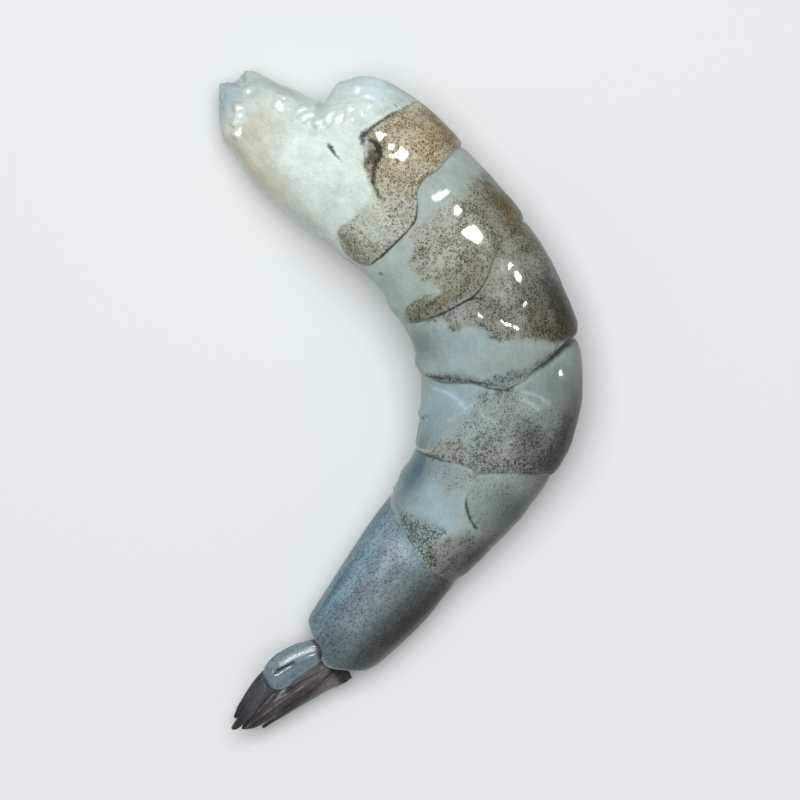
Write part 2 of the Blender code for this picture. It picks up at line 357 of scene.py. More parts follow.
class Lobe(NamedTuple):
    """A soft swelling, placed along the axis and round the body from the back, in degrees."""

    along: float
    round_from_back: float
    length: float
    spread: float
    rise: float


LOBES = (
    Lobe(0.9, 175, 2.2, 75, 0.3),     # blunt lower corner of the cut end
    Lobe(0.9, 4, 0.8, 20, 0.8),       # peak on the front rim of the cut end
    Lobe(4.2, 2, 1.9, 34, -0.5),      # the rim falls away behind it
    Lobe(4.6, 52, 1.6, 24, 0.45),     # beads of the rim
    Lobe(3.2, 100, 1.0, 16, 0.3),
    Lobe(3.0, 140, 1.1, 16, 0.3),
    Lobe(1.6, 66, 1.2, 26, -0.5),     # hollow before the rim
    Lobe(8.5, 58, 3.0, 26, 0.8),      # ridge running back from it
    Lobe(12.0, 14, 0.8, 40, -0.95),   # sharp notch between the two head lobes
    Lobe(12.6, 52, 1.3, 26, -0.4),
    Lobe(13.6, 10, 1.1, 30, 0.8),     # second lobe, at the back
    Lobe(17.2, 26, 2.4, 30, 0.5),
    Lobe(15.6, 62, 1.3, 16, 0.35),
    Lobe(19.6, 58, 1.0, 18, -0.3),
    Lobe(17.0, 128, 4.2, 42, 0.7),    # full belly of the head flesh
    Lobe(23.4, 84, 1.2, 30, -0.5),    # crease where the first shell sat
    Lobe(6.0, -70, 3.0, 40, 0.6),
    Lobe(16.0, -110, 4.0, 45, 0.6),
    Lobe(57.0, 122, 3.4, 30, 0.35),
    Lobe(70.5, 118, 3.0, 34, 0.45),
)
TIP_FRONT = (   # how far the cut end stands forward, from belly to back: a lip, a valley and a peak
    (-1.0, -1.5), (-0.83, -0.25), (-0.57, 0.66), (-0.07, 1.1), (0.27, 1.5), (0.42, 1.2), (0.56, 0.0),
    (0.68, -0.2), (0.8, 0.1), (1.0, 1.2),
)
SECTION_POWER = 2.25      # 2 would be an ellipse, more is squarer
NOISE_REACH = 9           # millimetres from the axis at which the noise of the ends is read
BELLY_GROOVE_DEPTH = 1.3
BELLY_GROOVE_WIDTH = 2.6
BELLY_GROOVE_START = 14.0
BELLY_GROOVE_END = 72.0
BELLY_GROOVE_FADE = 7.0


def section(turn):
    """Across and rise, both from -1 to 1, of a slightly squared ellipse at this turn."""
    c, s = np.cos(turn), np.sin(turn)
    reach = (np.abs(c) ** SECTION_POWER + np.abs(s) ** SECTION_POWER) ** (-1 / SECTION_POWER)
    return c * reach, s * reach


def turn_between(degrees, other):
    """Degrees from one turn to the other, from 0 to 180."""
    return np.abs((degrees - other + 180) % 360 - 180)


def big_relief(along, degrees, across, out_up):
    """Height of the lobes and the belly channel over the plain sections."""
    height = np.zeros(len(along))
    for lobe in LOBES:
        apart = turn_between(degrees, lobe.round_from_back)
        height += lobe.rise * bell(along - lobe.along, lobe.length) * bell(apart, lobe.spread)
    fade_in = np.clip((along - BELLY_GROOVE_START) / BELLY_GROOVE_FADE, 0, 1)
    fade_out = np.clip((BELLY_GROOVE_END - along) / BELLY_GROOVE_FADE, 0, 1)
    channel = fade_in * fade_out * BELLY_GROOVE_DEPTH * bell(out_up, BELLY_GROOVE_WIDTH)
    return height - np.where(across < 0, channel, 0)


ring = ring_places[flesh_ring.astype(int)]
across, rise = section(flesh_turn)
degrees = np.degrees(flesh_turn)
round_tip = 1 - np.clip(ring / TIP_ROUNDING, 0, 1)
shrink = np.sqrt(1 - round_tip**2)
tongue = np.clip((ring - FLESH_END) / (TONGUE_END - FLESH_END), 0, 1)
shrink *= np.sqrt(1 - tongue**4)
along = ring + shift_to_folds(ring, across * shrink)
tip_push = between(TIP_FRONT, 1, across * shrink)
along -= tip_push * ramp(7.0, 2.2, ring)
rough = on_body(along, across * NOISE_REACH * shrink, rise * NOISE_REACH * shrink)
along += lumps(rough, 3.5, 2, 5) * 0.3 * ramp(20, 26, ring) * ramp(75, 72, ring)
along -= lumps(rough, 1.3, 3, 31) * 0.35 * ramp(2.6, 1.2, ring)     # torn muscle on the cut face
out_back = across * depth_at(along, across)
out_up = rise * between(STATIONS, FLANK, along)
print("flesh is", round(float(ring.max()), 1), "mm long on its axis")

# %% [markdown]
# ## Lines and patches on the skin
#
# Where a thing lies on the skin is told by two numbers that don't care how the body curls: the
# distance along, and the distance over the skin from the flank's middle line. A patch is a closed
# outline in these numbers and a crease is a line. The distance to them, in real millimetres, then
# drives both the relief and the colour.

# %% Skin coordinates
SKIN_RADIUS = 9.8         # of the body's section, to unroll it


def over_skin(across):
    """Distance over the skin from the flank's middle line, in millimetres."""
    inside = np.clip(across, -1, 1)
    return SKIN_RADIUS * np.arcsin(inside) + (across - inside) * SKIN_RADIUS


def smooth_line(points, closed=False, steps=6):
    """A finer line through the points."""
    points = np.asarray(points, float)
    count = len(points)
    fine = []
    for n in range(count if closed else count - 1):
        picks = [n - 1, n, n + 1, n + 2]
        picks = [p % count if closed else min(max(p, 0), count - 1) for p in picks]
        a, b, c, d = points[picks]
        for t in np.arange(steps) / steps:
            fine.append(0.5 * (2 * b + (c - a) * t + (2 * a - 5 * b + 4 * c - d) * t**2
                               + (3 * b - a - 3 * c + d) * t**3))
    fine.append(points[0] if closed else points[-1])
    return np.array(fine)


def on_skin(points):
    """Points given as (along, across), in skin millimetres."""
    points = np.asarray(points, float)
    return np.stack([points[:, 0], over_skin(points[:, 1])], axis=1)


def distance_to_line(spots, line):
    """Distance of each spot to the line, and how far along the line from 0 to 1 that is."""
    nearest = np.full(len(spots), np.inf)
    share = np.zeros(len(spots))
    for n in range(len(line) - 1):
        start, run = line[n], line[n + 1] - line[n]
        t = np.clip((spots - start) @ run / max(run @ run, 1e-9), 0, 1)
        apart = np.linalg.norm(spots - start - t[:, None] * run, axis=1)
        closer = apart < nearest
        nearest = np.where(closer, apart, nearest)
        share = np.where(closer, (n + t) / (len(line) - 1), share)
    return nearest, share


def inside_of(spots, line):
    """True for the spots inside a closed line, by counting the sides crossed to their right."""
    inside = np.zeros(len(spots), bool)
    for (x1, y1), (x2, y2) in zip(line[:-1], line[1:]):
        spans = (y1 > spots[:, 1]) != (y2 > spots[:, 1])
        if y1 != y2:
            crossing = (x2 - x1) * (spots[:, 1] - y1) / (y2 - y1) + x1
            inside ^= spans & (spots[:, 0] < crossing)
    return inside


def depth_inside(spots, outline):
    """Millimetres inside a closed outline, negative outside it."""
    line = smooth_line(outline, closed=True)
    apart, _ = distance_to_line(spots, line)
    return np.where(inside_of(spots, line), apart, -apart)


def near_place(spots, along, across, length, spread):
    """1 at a place on the skin, falling away over its length along and its spread over the skin."""
    return bell(spots[:, 0] - along, length) * bell(spots[:, 1] - over_skin(across), spread)


def from_line(course):
    """Distance of each point of the flesh to a line on the skin, and the share of the line there."""
    return distance_to_line(spots, smooth_line(on_skin(course)))


spots = np.stack([along, over_skin(across * shrink)], axis=1)
print("skin runs", round(float(np.ptp(spots[:, 1])), 1), "mm from belly to back on each flank")

# %% [markdown]
# ## Where the pigmented skin lies
#
# Each segment keeps a patch of spotted skin. Most patches fade out at the front and end sharply at
# the fold behind. On the first segment the skin was torn a little when it was peeled, so its front
# edge is sharp too, with a dark crack. An outline that runs past 1 goes on over the back.

# %% Skin patches


class Patch(NamedTuple):
    """Spotted skin: its outline as (along, across), how softly it ends, and how dense it is."""

    outline: tuple
    fade: float
    density: float
    first_ring: float
    last_ring: float


PATCHES = (
    Patch(
        ((21.3, 1.3), (21.2, 0.95), (20.6, 0.83), (19.9, 0.69), (19.25, 0.53), (18.7, 0.38),
         (18.4, 0.3), (18.9, 0.2), (19.6, 0.1), (20.4, -0.02), (21.5, -0.1), (22.6, -0.17),
         (23.2, -0.3), (23.4, -0.48), (22.5, -0.66), (22.2, -0.75), (22.9, -0.82), (25.0, -0.89),
         (27.4, -0.91), (29.0, -0.87), (31.0, -0.8), (31.5, -0.5), (31.5, 0), (30, 0.3), (28.5, 1.3)),
        0.3, 1.0, 0.0, 29.0,
    ),
    Patch(
        ((18.4, 1.3), (18.6, 0.8), (18.9, 0.62), (19.9, 0.72), (21.2, 0.95), (21.5, 1.3)),
        0.6, 0.35, 0.0, 29.0,
    ),
    Patch(
        ((31.0, 1.3), (30.6, 0.85), (30.4, 0.6), (30.2, 0.45), (29.9, 0.28), (30.3, 0.1),
         (29.7, -0.08), (29.9, -0.25), (31.4, -0.36), (32.8, -0.48), (34.7, -0.52), (36.2, -0.46),
         (37.8, -0.4), (38.5, -0.4), (38.0, -0.56), (37.8, -0.74), (38.4, -0.84), (39.6, -0.87),
         (41.0, -0.83), (42.5, -0.7), (43.5, -0.3), (43, 0), (41, 0.4), (39, 1.3)),
        0.7, 1.0, 29.0, 40.7,
    ),
    Patch(
        ((36.5, 1.3), (37, 0.8), (38, 0.4), (40.5, 0), (41, -0.5), (41.6, -0.68), (42.6, -0.5),
         (44.2, -0.48), (45.0, -0.38), (44.6, -0.27), (45.3, -0.14), (46.7, -0.07), (47.5, 0.02),
         (47.9, 0.16), (48.1, 0.38), (48.9, 0.66), (49.3, 1.0), (49.3, 1.3)),
        0.45, 1.0, 40.7, 53.3,
    ),
    Patch(
        ((49.2, 0.9), (50.0, 0.5), (50.9, 0.25), (51.6, 0.0), (52.2, -0.15), (51.6, -0.35),
         (51.2, -0.55), (50.8, -0.75), (50.6, -0.95), (53, -0.95), (55, -0.5), (55, 0), (54.5, 0.6)),
        0.4, 0.85, 40.7, 53.3,
    ),
    Patch(
        ((55.2, 1.3), (54.8, 0.8), (54.4, 0.5), (53.6, 0.3), (53.2, 0.1), (53.6, -0.1), (54.6, -0.27),
         (56.2, -0.37), (58.9, -0.42), (61.5, -0.53), (63.3, -0.6), (64.8, -0.7), (67, -0.66),
         (66, 0), (64, 0.6), (63, 1.3)),
        1.1, 1.0, 53.3, 64.1,
    ),
    Patch(
        ((60.5, 1.3), (61.5, 0.6), (62.6, 0.25), (63.6, 0.08), (66, 0.08), (67.6, 0.14), (68.6, 0.25),
         (69.4, 0.42), (69.8, 0.64), (69.7, 1.3)),
        0.5, 0.6, 64.1, 90.0,
    ),
    Patch(
        ((69.9, 1.3), (70.2, 0.7), (70.6, 0.5), (71.8, 0.36), (73.8, 0.24), (79, 0.3), (79, 1.3)),
        0.8, 0.8, 64.1, 90.0,
    ),
    Patch(
        ((63.8, 0.05), (64.2, -0.3), (65.3, -0.6), (66.8, -0.66), (68.0, -0.5), (68.0, -0.2),
         (67.2, 0.0)),
        1.0, 0.6, 64.1, 90.0,
    ),
)
THIN_PLACES = (   # where the spots are sparser: along, across, reach along and over, how much sparser
    (22.8, -0.3, 1.4, 2.2, 0.45),
    (24.0, -0.62, 1.6, 0.9, 0.35),
    (19.2, 0.22, 0.9, 1.2, 0.4),
    (30.0, 0.3, 1.6, 7.0, 0.4),
    (40.2, 0.45, 1.7, 3.2, 0.45),
    (38.0, -0.3, 2.0, 2.0, 0.25),
    (43.6, -0.3, 1.8, 2.0, 0.3),
    (55.0, 0.5, 1.8, 4.0, 0.5),
    (57.2, -0.3, 2.4, 2.6, 0.45),
    (67.5, 0.8, 1.5, 4.0, 0.3),
    (25.8, -0.45, 2.2, 2.4, 0.4),
)
NET_PATCH = (   # where the pigment lies in a net of fine lines
    (72.1, 0.2), (72.5, 0.0), (72.9, -0.3), (73.6, -0.62), (74.4, -0.64), (75.4, -0.45),
    (76.6, -0.1), (77.5, 0.2), (77.5, 0.52), (76.0, 0.5), (74.9, 0.3), (73.4, 0.18),
)
RAGGED_EDGE = 0.12        # noise moves the edge of a patch by this much
RAGGED_FADE = 0.75        # and by this share of its fade

unrolled = np.stack([along, spots[:, 1], rise * 3], axis=1)     # room for noise, on both flanks
ragged = lumps(unrolled, 1.1, 4, 8)


def patch_cover(patch):
    """From 0 to 1, how densely this patch covers each point of the flesh."""
    inside = depth_inside(spots, on_skin(patch.outline))
    inside += ragged * (RAGGED_EDGE + RAGGED_FADE * patch.fade)
    cover = ramp(-patch.fade, patch.fade, inside)
    return cover * patch.density * (ring > patch.first_ring) * (ring < patch.last_ring)


skin = np.max([patch_cover(patch) for patch in PATCHES], axis=0)
for *place, amount in THIN_PLACES:
    skin *= 1 - amount * near_place(spots, *place)
skin *= np.clip(0.88 + 0.3 * lumps(unrolled, 2.4, 3, 6), 0, 1.15)
net = ramp(-0.3, 0.4, depth_inside(spots, on_skin(NET_PATCH)))
print("share of the flesh under spotted skin:", round(float((skin > 0.3).mean()), 2))

# %% [markdown]
# ## Creases, slits and dark edges
#
# A crease is both a groove in the flesh and a dark line, because pigment gathers in it. Each has a
# width and a strength at its start, middle and end, so that it swells and dies away like a real one.

# %% Crease lines


class Crease(NamedTuple):
    """A thin line in the skin: course, width, groove depth, and darkness from start to end."""

    course: tuple
    width: float
    groove: float
    dark: tuple


CREASES = (
    Crease(((15.2, 0.11), (15.6, 0.07), (16.1, 0.03), (16.7, -0.01), (17.5, -0.06)),
           0.25, 0.12, (1.0, 1.0, 0.45)),
    Crease(((15.1, 0.115), (15.4, 0.09), (15.8, 0.1)), 0.28, 0.1, (0.8, 1.0, 0.6)),
    Crease(((21.4, 1.0), (20.6, 0.83), (19.9, 0.69), (19.25, 0.53), (18.7, 0.38)),
           0.22, 0.14, (0.6, 0.85, 1.0)),
    Crease(((18.75, 0.4), (18.45, 0.33), (18.75, 0.23)), 0.4, 0.2, (0.9, 1.0, 0.7)),
    Crease(((19.4, 0.31), (20.3, 0.29), (21.0, 0.2), (21.3, 0.06), (22.0, -0.06),
            (23.0, -0.13), (24.0, -0.17)), 0.4, 0.12, (1.0, 1.0, 0.75)),
    Crease(((19.4, 0.26), (20.0, 0.18), (20.5, 0.08), (21.2, -0.02)), 0.6, 0.05, (0.5, 0.45, 0.3)),
    Crease(((18.9, 0.22), (19.7, 0.1), (20.7, -0.02), (21.8, -0.1)), 0.25, 0.08, (0.5, 0.6, 0.4)),
    Crease(((20.0, 0.3), (20.4, 0.34), (21.0, 0.33)), 0.16, 0.05, (0.5, 0.5, 0.2)),
    Crease(((22.3, -0.7), (24.0, -0.64), (25.9, -0.61), (27.7, -0.62), (28.9, -0.66)),
           0.2, 0.12, (0.55, 0.7, 0.6)),
    Crease(((22.3, -0.7), (22.1, -0.77), (22.9, -0.84), (24.8, -0.89), (27.0, -0.9), (29.0, -0.86)),
           0.2, 0.1, (0.4, 0.5, 0.55)),
    Crease(((38.6, -0.42), (38.2, -0.52), (37.9, -0.68), (38.1, -0.8), (39.2, -0.87), (40.4, -0.86)),
           0.22, 0.12, (0.35, 0.8, 0.55)),
    Crease(((41.4, -0.1), (42.0, 0.0), (42.9, 0.02), (43.7, -0.02)), 0.2, 0.1, (0.9, 0.55, 0.5)),
    Crease(((42.7, 0.12), (43.2, 0.05), (43.3, -0.06)), 0.25, 0.1, (0.3, 0.7, 0.2)),
    Crease(((41.9, -0.62), (42.6, -0.5), (43.8, -0.48), (44.8, -0.42)), 0.3, 0.05, (0.3, 0.45, 0.2)),
    Crease(((51.4, 0.42), (50.3, 0.66), (49.3, 0.85), (48.4, 1.05)), 0.32, 0.3, (0.6, 1.0, 1.0)),
    Crease(((52.6, -0.1), (51.7, 0.05), (51.3, 0.2), (51.5, 0.36)), 0.3, 0.05, (0.4, 0.45, 0.3)),
    Crease(((52.0, -0.75), (51.7, -0.6), (52.1, -0.45)), 0.4, 0.05, (0.3, 0.55, 0.3)),
    Crease(((52.4, -0.3), (52.1, -0.42)), 0.3, 0.05, (0.4, 0.5, 0.3)),
    Crease(((51.2, -0.88), (51.6, -0.74), (51.9, -0.6), (51.7, -0.5)), 0.42, 0.05, (0.6, 0.8, 0.5)),
    Crease(((51.9, -0.52), (52.4, -0.38), (52.7, -0.2), (52.9, -0.05)), 0.34, 0.05, (0.5, 0.75, 0.6)),
    Crease(((52.8, 0.02), (52.1, 0.16), (51.6, 0.3), (51.7, 0.42)), 0.3, 0.05, (0.3, 0.55, 0.4)),
    Crease(((54.0, -0.24), (54.1, 0.0), (53.9, 0.14)), 0.22, 0.05, (0.3, 0.5, 0.2)),
    Crease(((64.7, -0.59), (63.8, -0.6), (62.8, -0.58)), 0.22, 0.12, (1.0, 0.7, 0.3)),
    Crease(((64.5, -0.48), (63.5, -0.49), (62.5, -0.46)), 0.22, 0.12, (1.0, 0.6, 0.3)),
    Crease(((64.2, -0.35), (63.2, -0.38), (62.2, -0.36)), 0.2, 0.1, (0.9, 0.5, 0.2)),
    Crease(((64.1, -0.2), (63.2, -0.26), (62.5, -0.27)), 0.18, 0.08, (0.8, 0.5, 0.2)),
    Crease(((64.3, 0.06), (65.3, 0.04), (66.2, 0.07)), 0.2, 0.1, (0.9, 0.4, 0.2)),
    Crease(((66.2, 0.11), (67.4, 0.13), (68.3, 0.22), (69.2, 0.39), (69.7, 0.58)),
           0.26, 0.2, (0.4, 1.0, 0.8)),
    Crease(((65.2, -0.62), (66.0, -0.6), (66.8, -0.62)), 0.24, 0.1, (0.9, 0.5, 0.2)),
    Crease(((62.0, -0.2), (63.1, -0.3), (63.9, -0.36)), 0.2, 0.05, (0.2, 0.5, 0.3)),
    Crease(((72.9, -0.55), (72.5, -0.2), (72.2, 0.1), (72.4, 0.22)), 0.18, 0.05, (0.3, 0.5, 0.7)),
    Crease(((72.3, 0.2), (73.4, 0.17), (74.4, 0.24), (75.6, 0.36), (76.4, 0.5)),
           0.18, 0.05, (0.7, 0.4, 0.4)),
    Crease(((75.0, 0.22), (75.5, 0.34), (76.0, 0.32), (75.9, 0.2)), 0.16, 0.05, (0.4, 0.6, 0.4)),
)
SPECKS = (   # single dark specks: along, across, radius, darkness
    (31.3, -0.82, 0.45, 0.7),
    (60.2, -0.88, 0.5, 0.8),
    (20.0, 0.86, 0.25, 0.6),
    (26.5, -0.06, 0.3, 0.5),
    (38.8, -0.32, 0.35, 0.6),
    (56.4, 0.18, 0.3, 0.4),
    (59.5, 0.2, 0.25, 0.4),
    (24.6, 0.08, 0.2, 0.4),
    (19.8, 0.78, 0.22, 0.8),
    (20.6, 0.92, 0.2, 0.6),
    (31.3, -0.8, 0.3, 0.8),
    (59.6, -0.84, 0.35, 0.8),
    (60.1, -0.8, 0.25, 0.5),
    (61.5, 0.1, 0.25, 0.5),
    (59.8, -0.1, 0.25, 0.45),
)
EDGE_INK = (   # darkness of each fold's line, from belly to back
    ((-1, 0.0), (-0.9, 0.4), (-0.7, 0.9), (-0.2, 0.85), (0.05, 0.7), (0.2, 0.35), (1, 0.3)),
    ((-1, 0.0), (-0.9, 0.5), (-0.6, 0.75), (-0.1, 1.0), (0.1, 0.7), (0.4, 0.45), (1, 0.5)),
    ((-1, 0.0), (-0.85, 0.5), (-0.5, 0.55), (-0.1, 0.75), (0.05, 0.7), (0.3, 0.3), (0.44, 0.5),
     (0.52, 1.0), (1, 1.0)),
    ((-1, 0.0), (-0.8, 0.4), (-0.6, 0.7), (-0.3, 0.4), (0.1, 0.45), (0.3, 0.4), (1, 0.5)),
)
EDGE_INK_WIDTH = 0.2
EDGE_INK_BEHIND = 0.05


def crease_reach(crease):
    """How strong the crease is at each point, from 0 to 1: it is widest where it is darkest."""
    apart, share = from_line(crease.course)
    dark = np.interp(share, (0, 0.5, 1), crease.dark)
    return dark * bell(apart, crease.width * (0.45 + 0.55 * dark))


lines_and_shade = np.zeros(len(along))
groove = np.zeros(len(along))
for crease in CREASES:
    dark = crease_reach(crease)
    lines_and_shade = np.maximum(lines_and_shade, dark)
    groove += crease.groove * dark
for *place, radius, darkness in SPECKS:
    lines_and_shade = np.maximum(lines_and_shade, darkness * near_place(spots, *place, radius, radius))
for fold, darkness in zip(FREE_FOLDS, EDGE_INK):
    line = bell(ring - fold.ring - EDGE_INK_BEHIND, EDGE_INK_WIDTH)
    lines_and_shade = np.maximum(lines_and_shade, line * between(darkness, 1, across * shrink))
print("creases:", len(CREASES), "specks:", len(SPECKS))

# %% [markdown]
# ## Relief of the skin
#
# Now the heights are added up: the big lobes, the segments that rise to each fold and drop behind
# it, the creases, and soft lumps at three sizes. The cut end is bare muscle and far lumpier than
# the skin.

# %% Folds and lumps
SKIRT_RISE = 0.3
SKIRT_LENGTH = 4.2
LIP_LENGTH = 0.45
HOLLOW_DEPTH = 0.22
HOLLOW_LENGTH = 2.0
CREASE_DEPTH = 0.26
CREASE_LENGTH = 0.34


def fold_relief(ring, across):
    """The rise up to each fold, its rounded lip, the crease and the hollow behind it."""
    height = np.zeros(len(ring))
    for fold in FREE_FOLDS:
        past = ring - fold.ring
        before = SKIRT_RISE * bell(past, SKIRT_LENGTH) * (1 - 0.7 * bell(past, LIP_LENGTH))
        hollow = HOLLOW_DEPTH * bell(past, HOLLOW_LENGTH)
        crease = CREASE_DEPTH * bell(past - 0.18, CREASE_LENGTH)
        behind = (0.09 - hollow - crease) * ramp(8, 3, past)
        height += blend(before, behind, ramp(-0.12, 0.2, past)) * between(fold.depth, 1, across)
    return height


def small_relief(points):
    """Soft lumps at three sizes: strong on the bare muscle of the cut end, faint on the skin."""
    muscle = ramp(16, 6, along) * 0.8 + 0.2 * ramp(24, 18, along)
    coarse = lumps(points, 5.0, 2, 1)
    middle = lumps(points, 1.9, 2, 2)
    fine = lumps(points, 0.8, 2, 3)
    beads = muscle * ramp(-0.35, 0.15, across) * ramp(-0.6, 0.5, middle)
    return (
        coarse * (0.14 + 0.16 * muscle)
        + middle * (0.04 + 0.12 * muscle)
        + fine * (0.012 + 0.02 * muscle + 0.08 * beads)
    )


height = big_relief(along, degrees, across, out_up) + fold_relief(ring, across * shrink) - groove
print("big forms and folds:", round(float(height.min()), 2), "to", round(float(height.max()), 2), "mm")

# %% [markdown]
# ## Small forms on the flesh
#
# The torn rim of the cut end has small lumps on it. Along the belly stand the stumps of the swimming
# legs, in pairs. A strip of thin membrane and a few pale threads of torn skin are left at the belly
# end of the fourth segment's edge. Last, the flesh narrows before it enters the tail shell.

# %% Small forms
VENTRAL_LOBES = (   # round lobes where the bands end near the belly: along, across, length, spread
    (26.6, -0.76, 3.2, 2.6),
    (39.8, -0.7, 1.9, 2.6),
    (51.3, -0.72, 1.8, 2.8),
    (64.2, -0.76, 2.4, 2.2),
)
VENTRAL_RISE = 0.3
SWELLINGS = (   # small lumps on the rim of the cut end: along, across, radius and rise
    (2.6, -0.09, 0.45, 0.27), (3.3, -0.36, 0.45, 0.3), (3.9, -0.48, 0.3, 0.2), (4.3, -0.58, 0.42, 0.28),
    (2.2, 0.42, 0.4, 0.14), (3.6, 0.2, 0.3, 0.1), (5.8, 0.63, 0.5, 0.15), (6.5, 0.5, 0.55, 0.15),
)
SCARS = tuple((place, side) for place in (25.5, 36.5, 48.0, 59.5, 69.5) for side in (-24, 24))
SCAR_LENGTH = 1.5
SCAR_SPREAD = 9.0         # in degrees round the body
SCAR_RISE = 0.45
MEMBRANE = ((61.6, -0.93), (62.8, -0.96), (64.2, -0.95), (65.3, -0.86), (65.3, -0.75), (64.8, -0.66))
MEMBRANE_WIDTH = 0.26
MEMBRANE_RISE = 0.28
STRANDS = (     # pale threads of torn skin at the belly end of the fourth segment's edge
    ((64.9, -0.68), (63.6, -0.7), (62.8, -0.64)),
    ((64.8, -0.6), (63.5, -0.56)),
    ((64.6, -0.52), (63.4, -0.5), (62.3, -0.55)),
    ((64.5, -0.45), (63.2, -0.38)),
    ((64.2, -0.36), (63.0, -0.41), (62.3, -0.36)),
    ((64.0, -0.27), (63.2, -0.3)),
)
STRAND_WIDTH = 0.13
STRAND_RISE = 0.1
SKIN_THICKNESS = 0.07     # of the torn skin on the first segment
TUCK_START = 75.0         # from here on the flesh narrows, by this depth
TUCK_DEPTH = 0.36

upper = rise > 0
for place in VENTRAL_LOBES:
    height += VENTRAL_RISE * near_place(spots, *place)
for *place, radius, swelling in SWELLINGS:
    height += swelling * near_place(spots, *place, radius, radius) * upper
for place, side in SCARS:
    apart = turn_between(degrees, 180 + side)
    height += SCAR_RISE * bell(along - place, SCAR_LENGTH) * bell(apart, SCAR_SPREAD)
first_skin = ramp(-0.2, 0.25, depth_inside(spots, on_skin(PATCHES[0].outline)))
height += SKIN_THICKNESS * first_skin * (ring < PATCHES[0].last_ring)
membrane = bell(from_line(MEMBRANE)[0], MEMBRANE_WIDTH) * upper
strand = np.max([bell(from_line(course)[0], STRAND_WIDTH) for course in STRANDS], axis=0)
strand *= ring < FREE_FOLDS[3].ring
height += MEMBRANE_RISE * membrane + STRAND_RISE * strand
height += small_relief(on_body(along, out_back * shrink, out_up * shrink))
height -= TUCK_DEPTH * ramp(TUCK_START, FLESH_END, ring)
print(len(VENTRAL_LOBES) + len(SWELLINGS) + len(SCARS) + len(STRANDS) + 1, "small forms")

# %% [markdown]
# ## Beads of water
#
# Wet skin glints where a bead of water mirrors a lamp, and a bead lies flatter than the skin. So each
# bead is shaped: its face is turned half way between the lamp and the eye, and bulges just enough to
# mirror the whole lamp. How wet each point is drives the water film of the material.

# %% Water beads


class Bead(NamedTuple):
    """A flat bead of water: its place on the body, its radius in millimetres and its shine."""

    along: float
    across: float
    radius: float
    shine: float = 1.0


GLINT_LAMP = (0.195, 0.17, 0.42)      # place of the small bright lamp, in metres
GLINT_LAMP_SIZE = 0.075
EYE = (0, 0, 0.508)                   # the lens looks down from here
BEADS = (
    Bead(2.2, 0.44, 0.3), Bead(2.6, -0.09, 0.34), Bead(3.2, -0.24, 0.3), Bead(3.6, -0.4, 0.3),
    Bead(4.3, -0.55, 0.38), Bead(6.0, 0.66, 0.3), Bead(6.4, 0.5, 0.4),
    Bead(9.4, 0.65, 0.28), Bead(10.8, 0.56, 0.4), Bead(12.1, 0.46, 0.32), Bead(13.5, 0.42, 0.42),
    Bead(14.5, 0.49, 0.42), Bead(15.6, 0.46, 0.34), Bead(16.6, 0.57, 0.34),
    Bead(17.0, 0.47, 0.26), Bead(17.7, 0.56, 0.28), Bead(18.0, 0.66, 0.28), Bead(17.5, 0.76, 0.3),
    Bead(16.6, 0.83, 0.32),
    Bead(20.0, 0.4, 0.65, 0.9), Bead(22.5, 0.37, 0.9, 0.9), Bead(21.4, 0.37, 0.3),
    Bead(29.0, 0.27, 0.3, 0.6), Bead(29.2, 0.34, 0.35, 0.6), Bead(29.4, 0.42, 0.3, 0.6),
    Bead(31.7, 0.39, 0.5), Bead(35.0, 0.34, 1.15),
    Bead(40.4, 0.52, 0.42), Bead(41.6, 0.54, 0.48), Bead(44.5, 0.48, 0.2), Bead(43.9, -0.08, 0.26),
    Bead(45.5, 0.14, 0.18), Bead(45.9, 0.19, 0.2), Bead(46.3, 0.24, 0.2), Bead(46.7, 0.29, 0.22),
    Bead(51.7, 0.72, 0.3),
)


def lay_bead(points, bead):
    """Shapes one bead in the upper flank. Gives 1 on the bead, for its shine."""
    centre = on_body(bead.along, bead.across * depth_at(bead.along, bead.across), 0.0)
    off = points[:, :2] - centre[:2]
    apart = np.where(upper, np.hypot(off[:, 0], off[:, 1]), np.inf)
    centre[2] = points[np.argmin(apart), 2]
    to_lamp = np.array(GLINT_LAMP) / MM - centre
    distance = np.linalg.norm(to_lamp)
    to_eye = np.array(EYE) / MM - centre
    facing = to_lamp / distance + to_eye / np.linalg.norm(to_eye)
    bulge = GLINT_LAMP_SIZE / MM / distance / 8 / bead.radius     # so that the glint fills the bead
    way = np.arctan2(off[:, 1], off[:, 0])
    uneven = 1 + 0.3 * np.sin(2 * way + 5 * bead.along) + 0.18 * np.sin(3 * way + 9 * bead.along)
    face = centre[2] - off @ facing[:2] / facing[2] - bulge * uneven * (off**2).sum(axis=1)
    cover = ramp(bead.radius + 0.6, bead.radius + 0.22, apart * uneven**0.5)
    points[:, 2] += np.where(cover > 0, (face - points[:, 2]) * cover, 0)
    return ramp(bead.radius + 0.4, bead.radius, apart)


grown = (1 + height / np.maximum(np.hypot(out_back, out_up), 1e-6)) * shrink
points = on_body(along, out_back * grown, out_up * grown)
wet = np.zeros(len(along))
for bead in BEADS:
    wet = np.maximum(wet, bead.shine * lay_bead(points, bead))
set_shape(flesh, points)

# %% [markdown]
# ## Colours of the flesh
#
# Raw shrimp is never one colour. The bare muscle is milky, the thin flesh of the flanks is a cool
# blue grey because light goes deep into it, and the spotted skin is tan at the back and greyer down
# the flank. The colours are laid on like an airbrush would: a base, then soft dabs, each placed on the
# body. Some dabs paint light and shade as well: shade along the back and at the edges of the head,
# highlights on the head, and a sheen low on the fifth segment. Colours are written as sRGB hex values,
# as a paint chart gives them, and turned to linear.

# %% Paint box


def linear(hex_colour):
    """Linear red, green and blue of an sRGB hex value."""
    parts = [int(hex_colour[n:n + 2], 16) / 255 for n in (1, 3, 5)]
    return np.array([p / 12.92 if p <= 0.04045 else ((p + 0.055) / 1.055) ** 2.4 for p in parts])


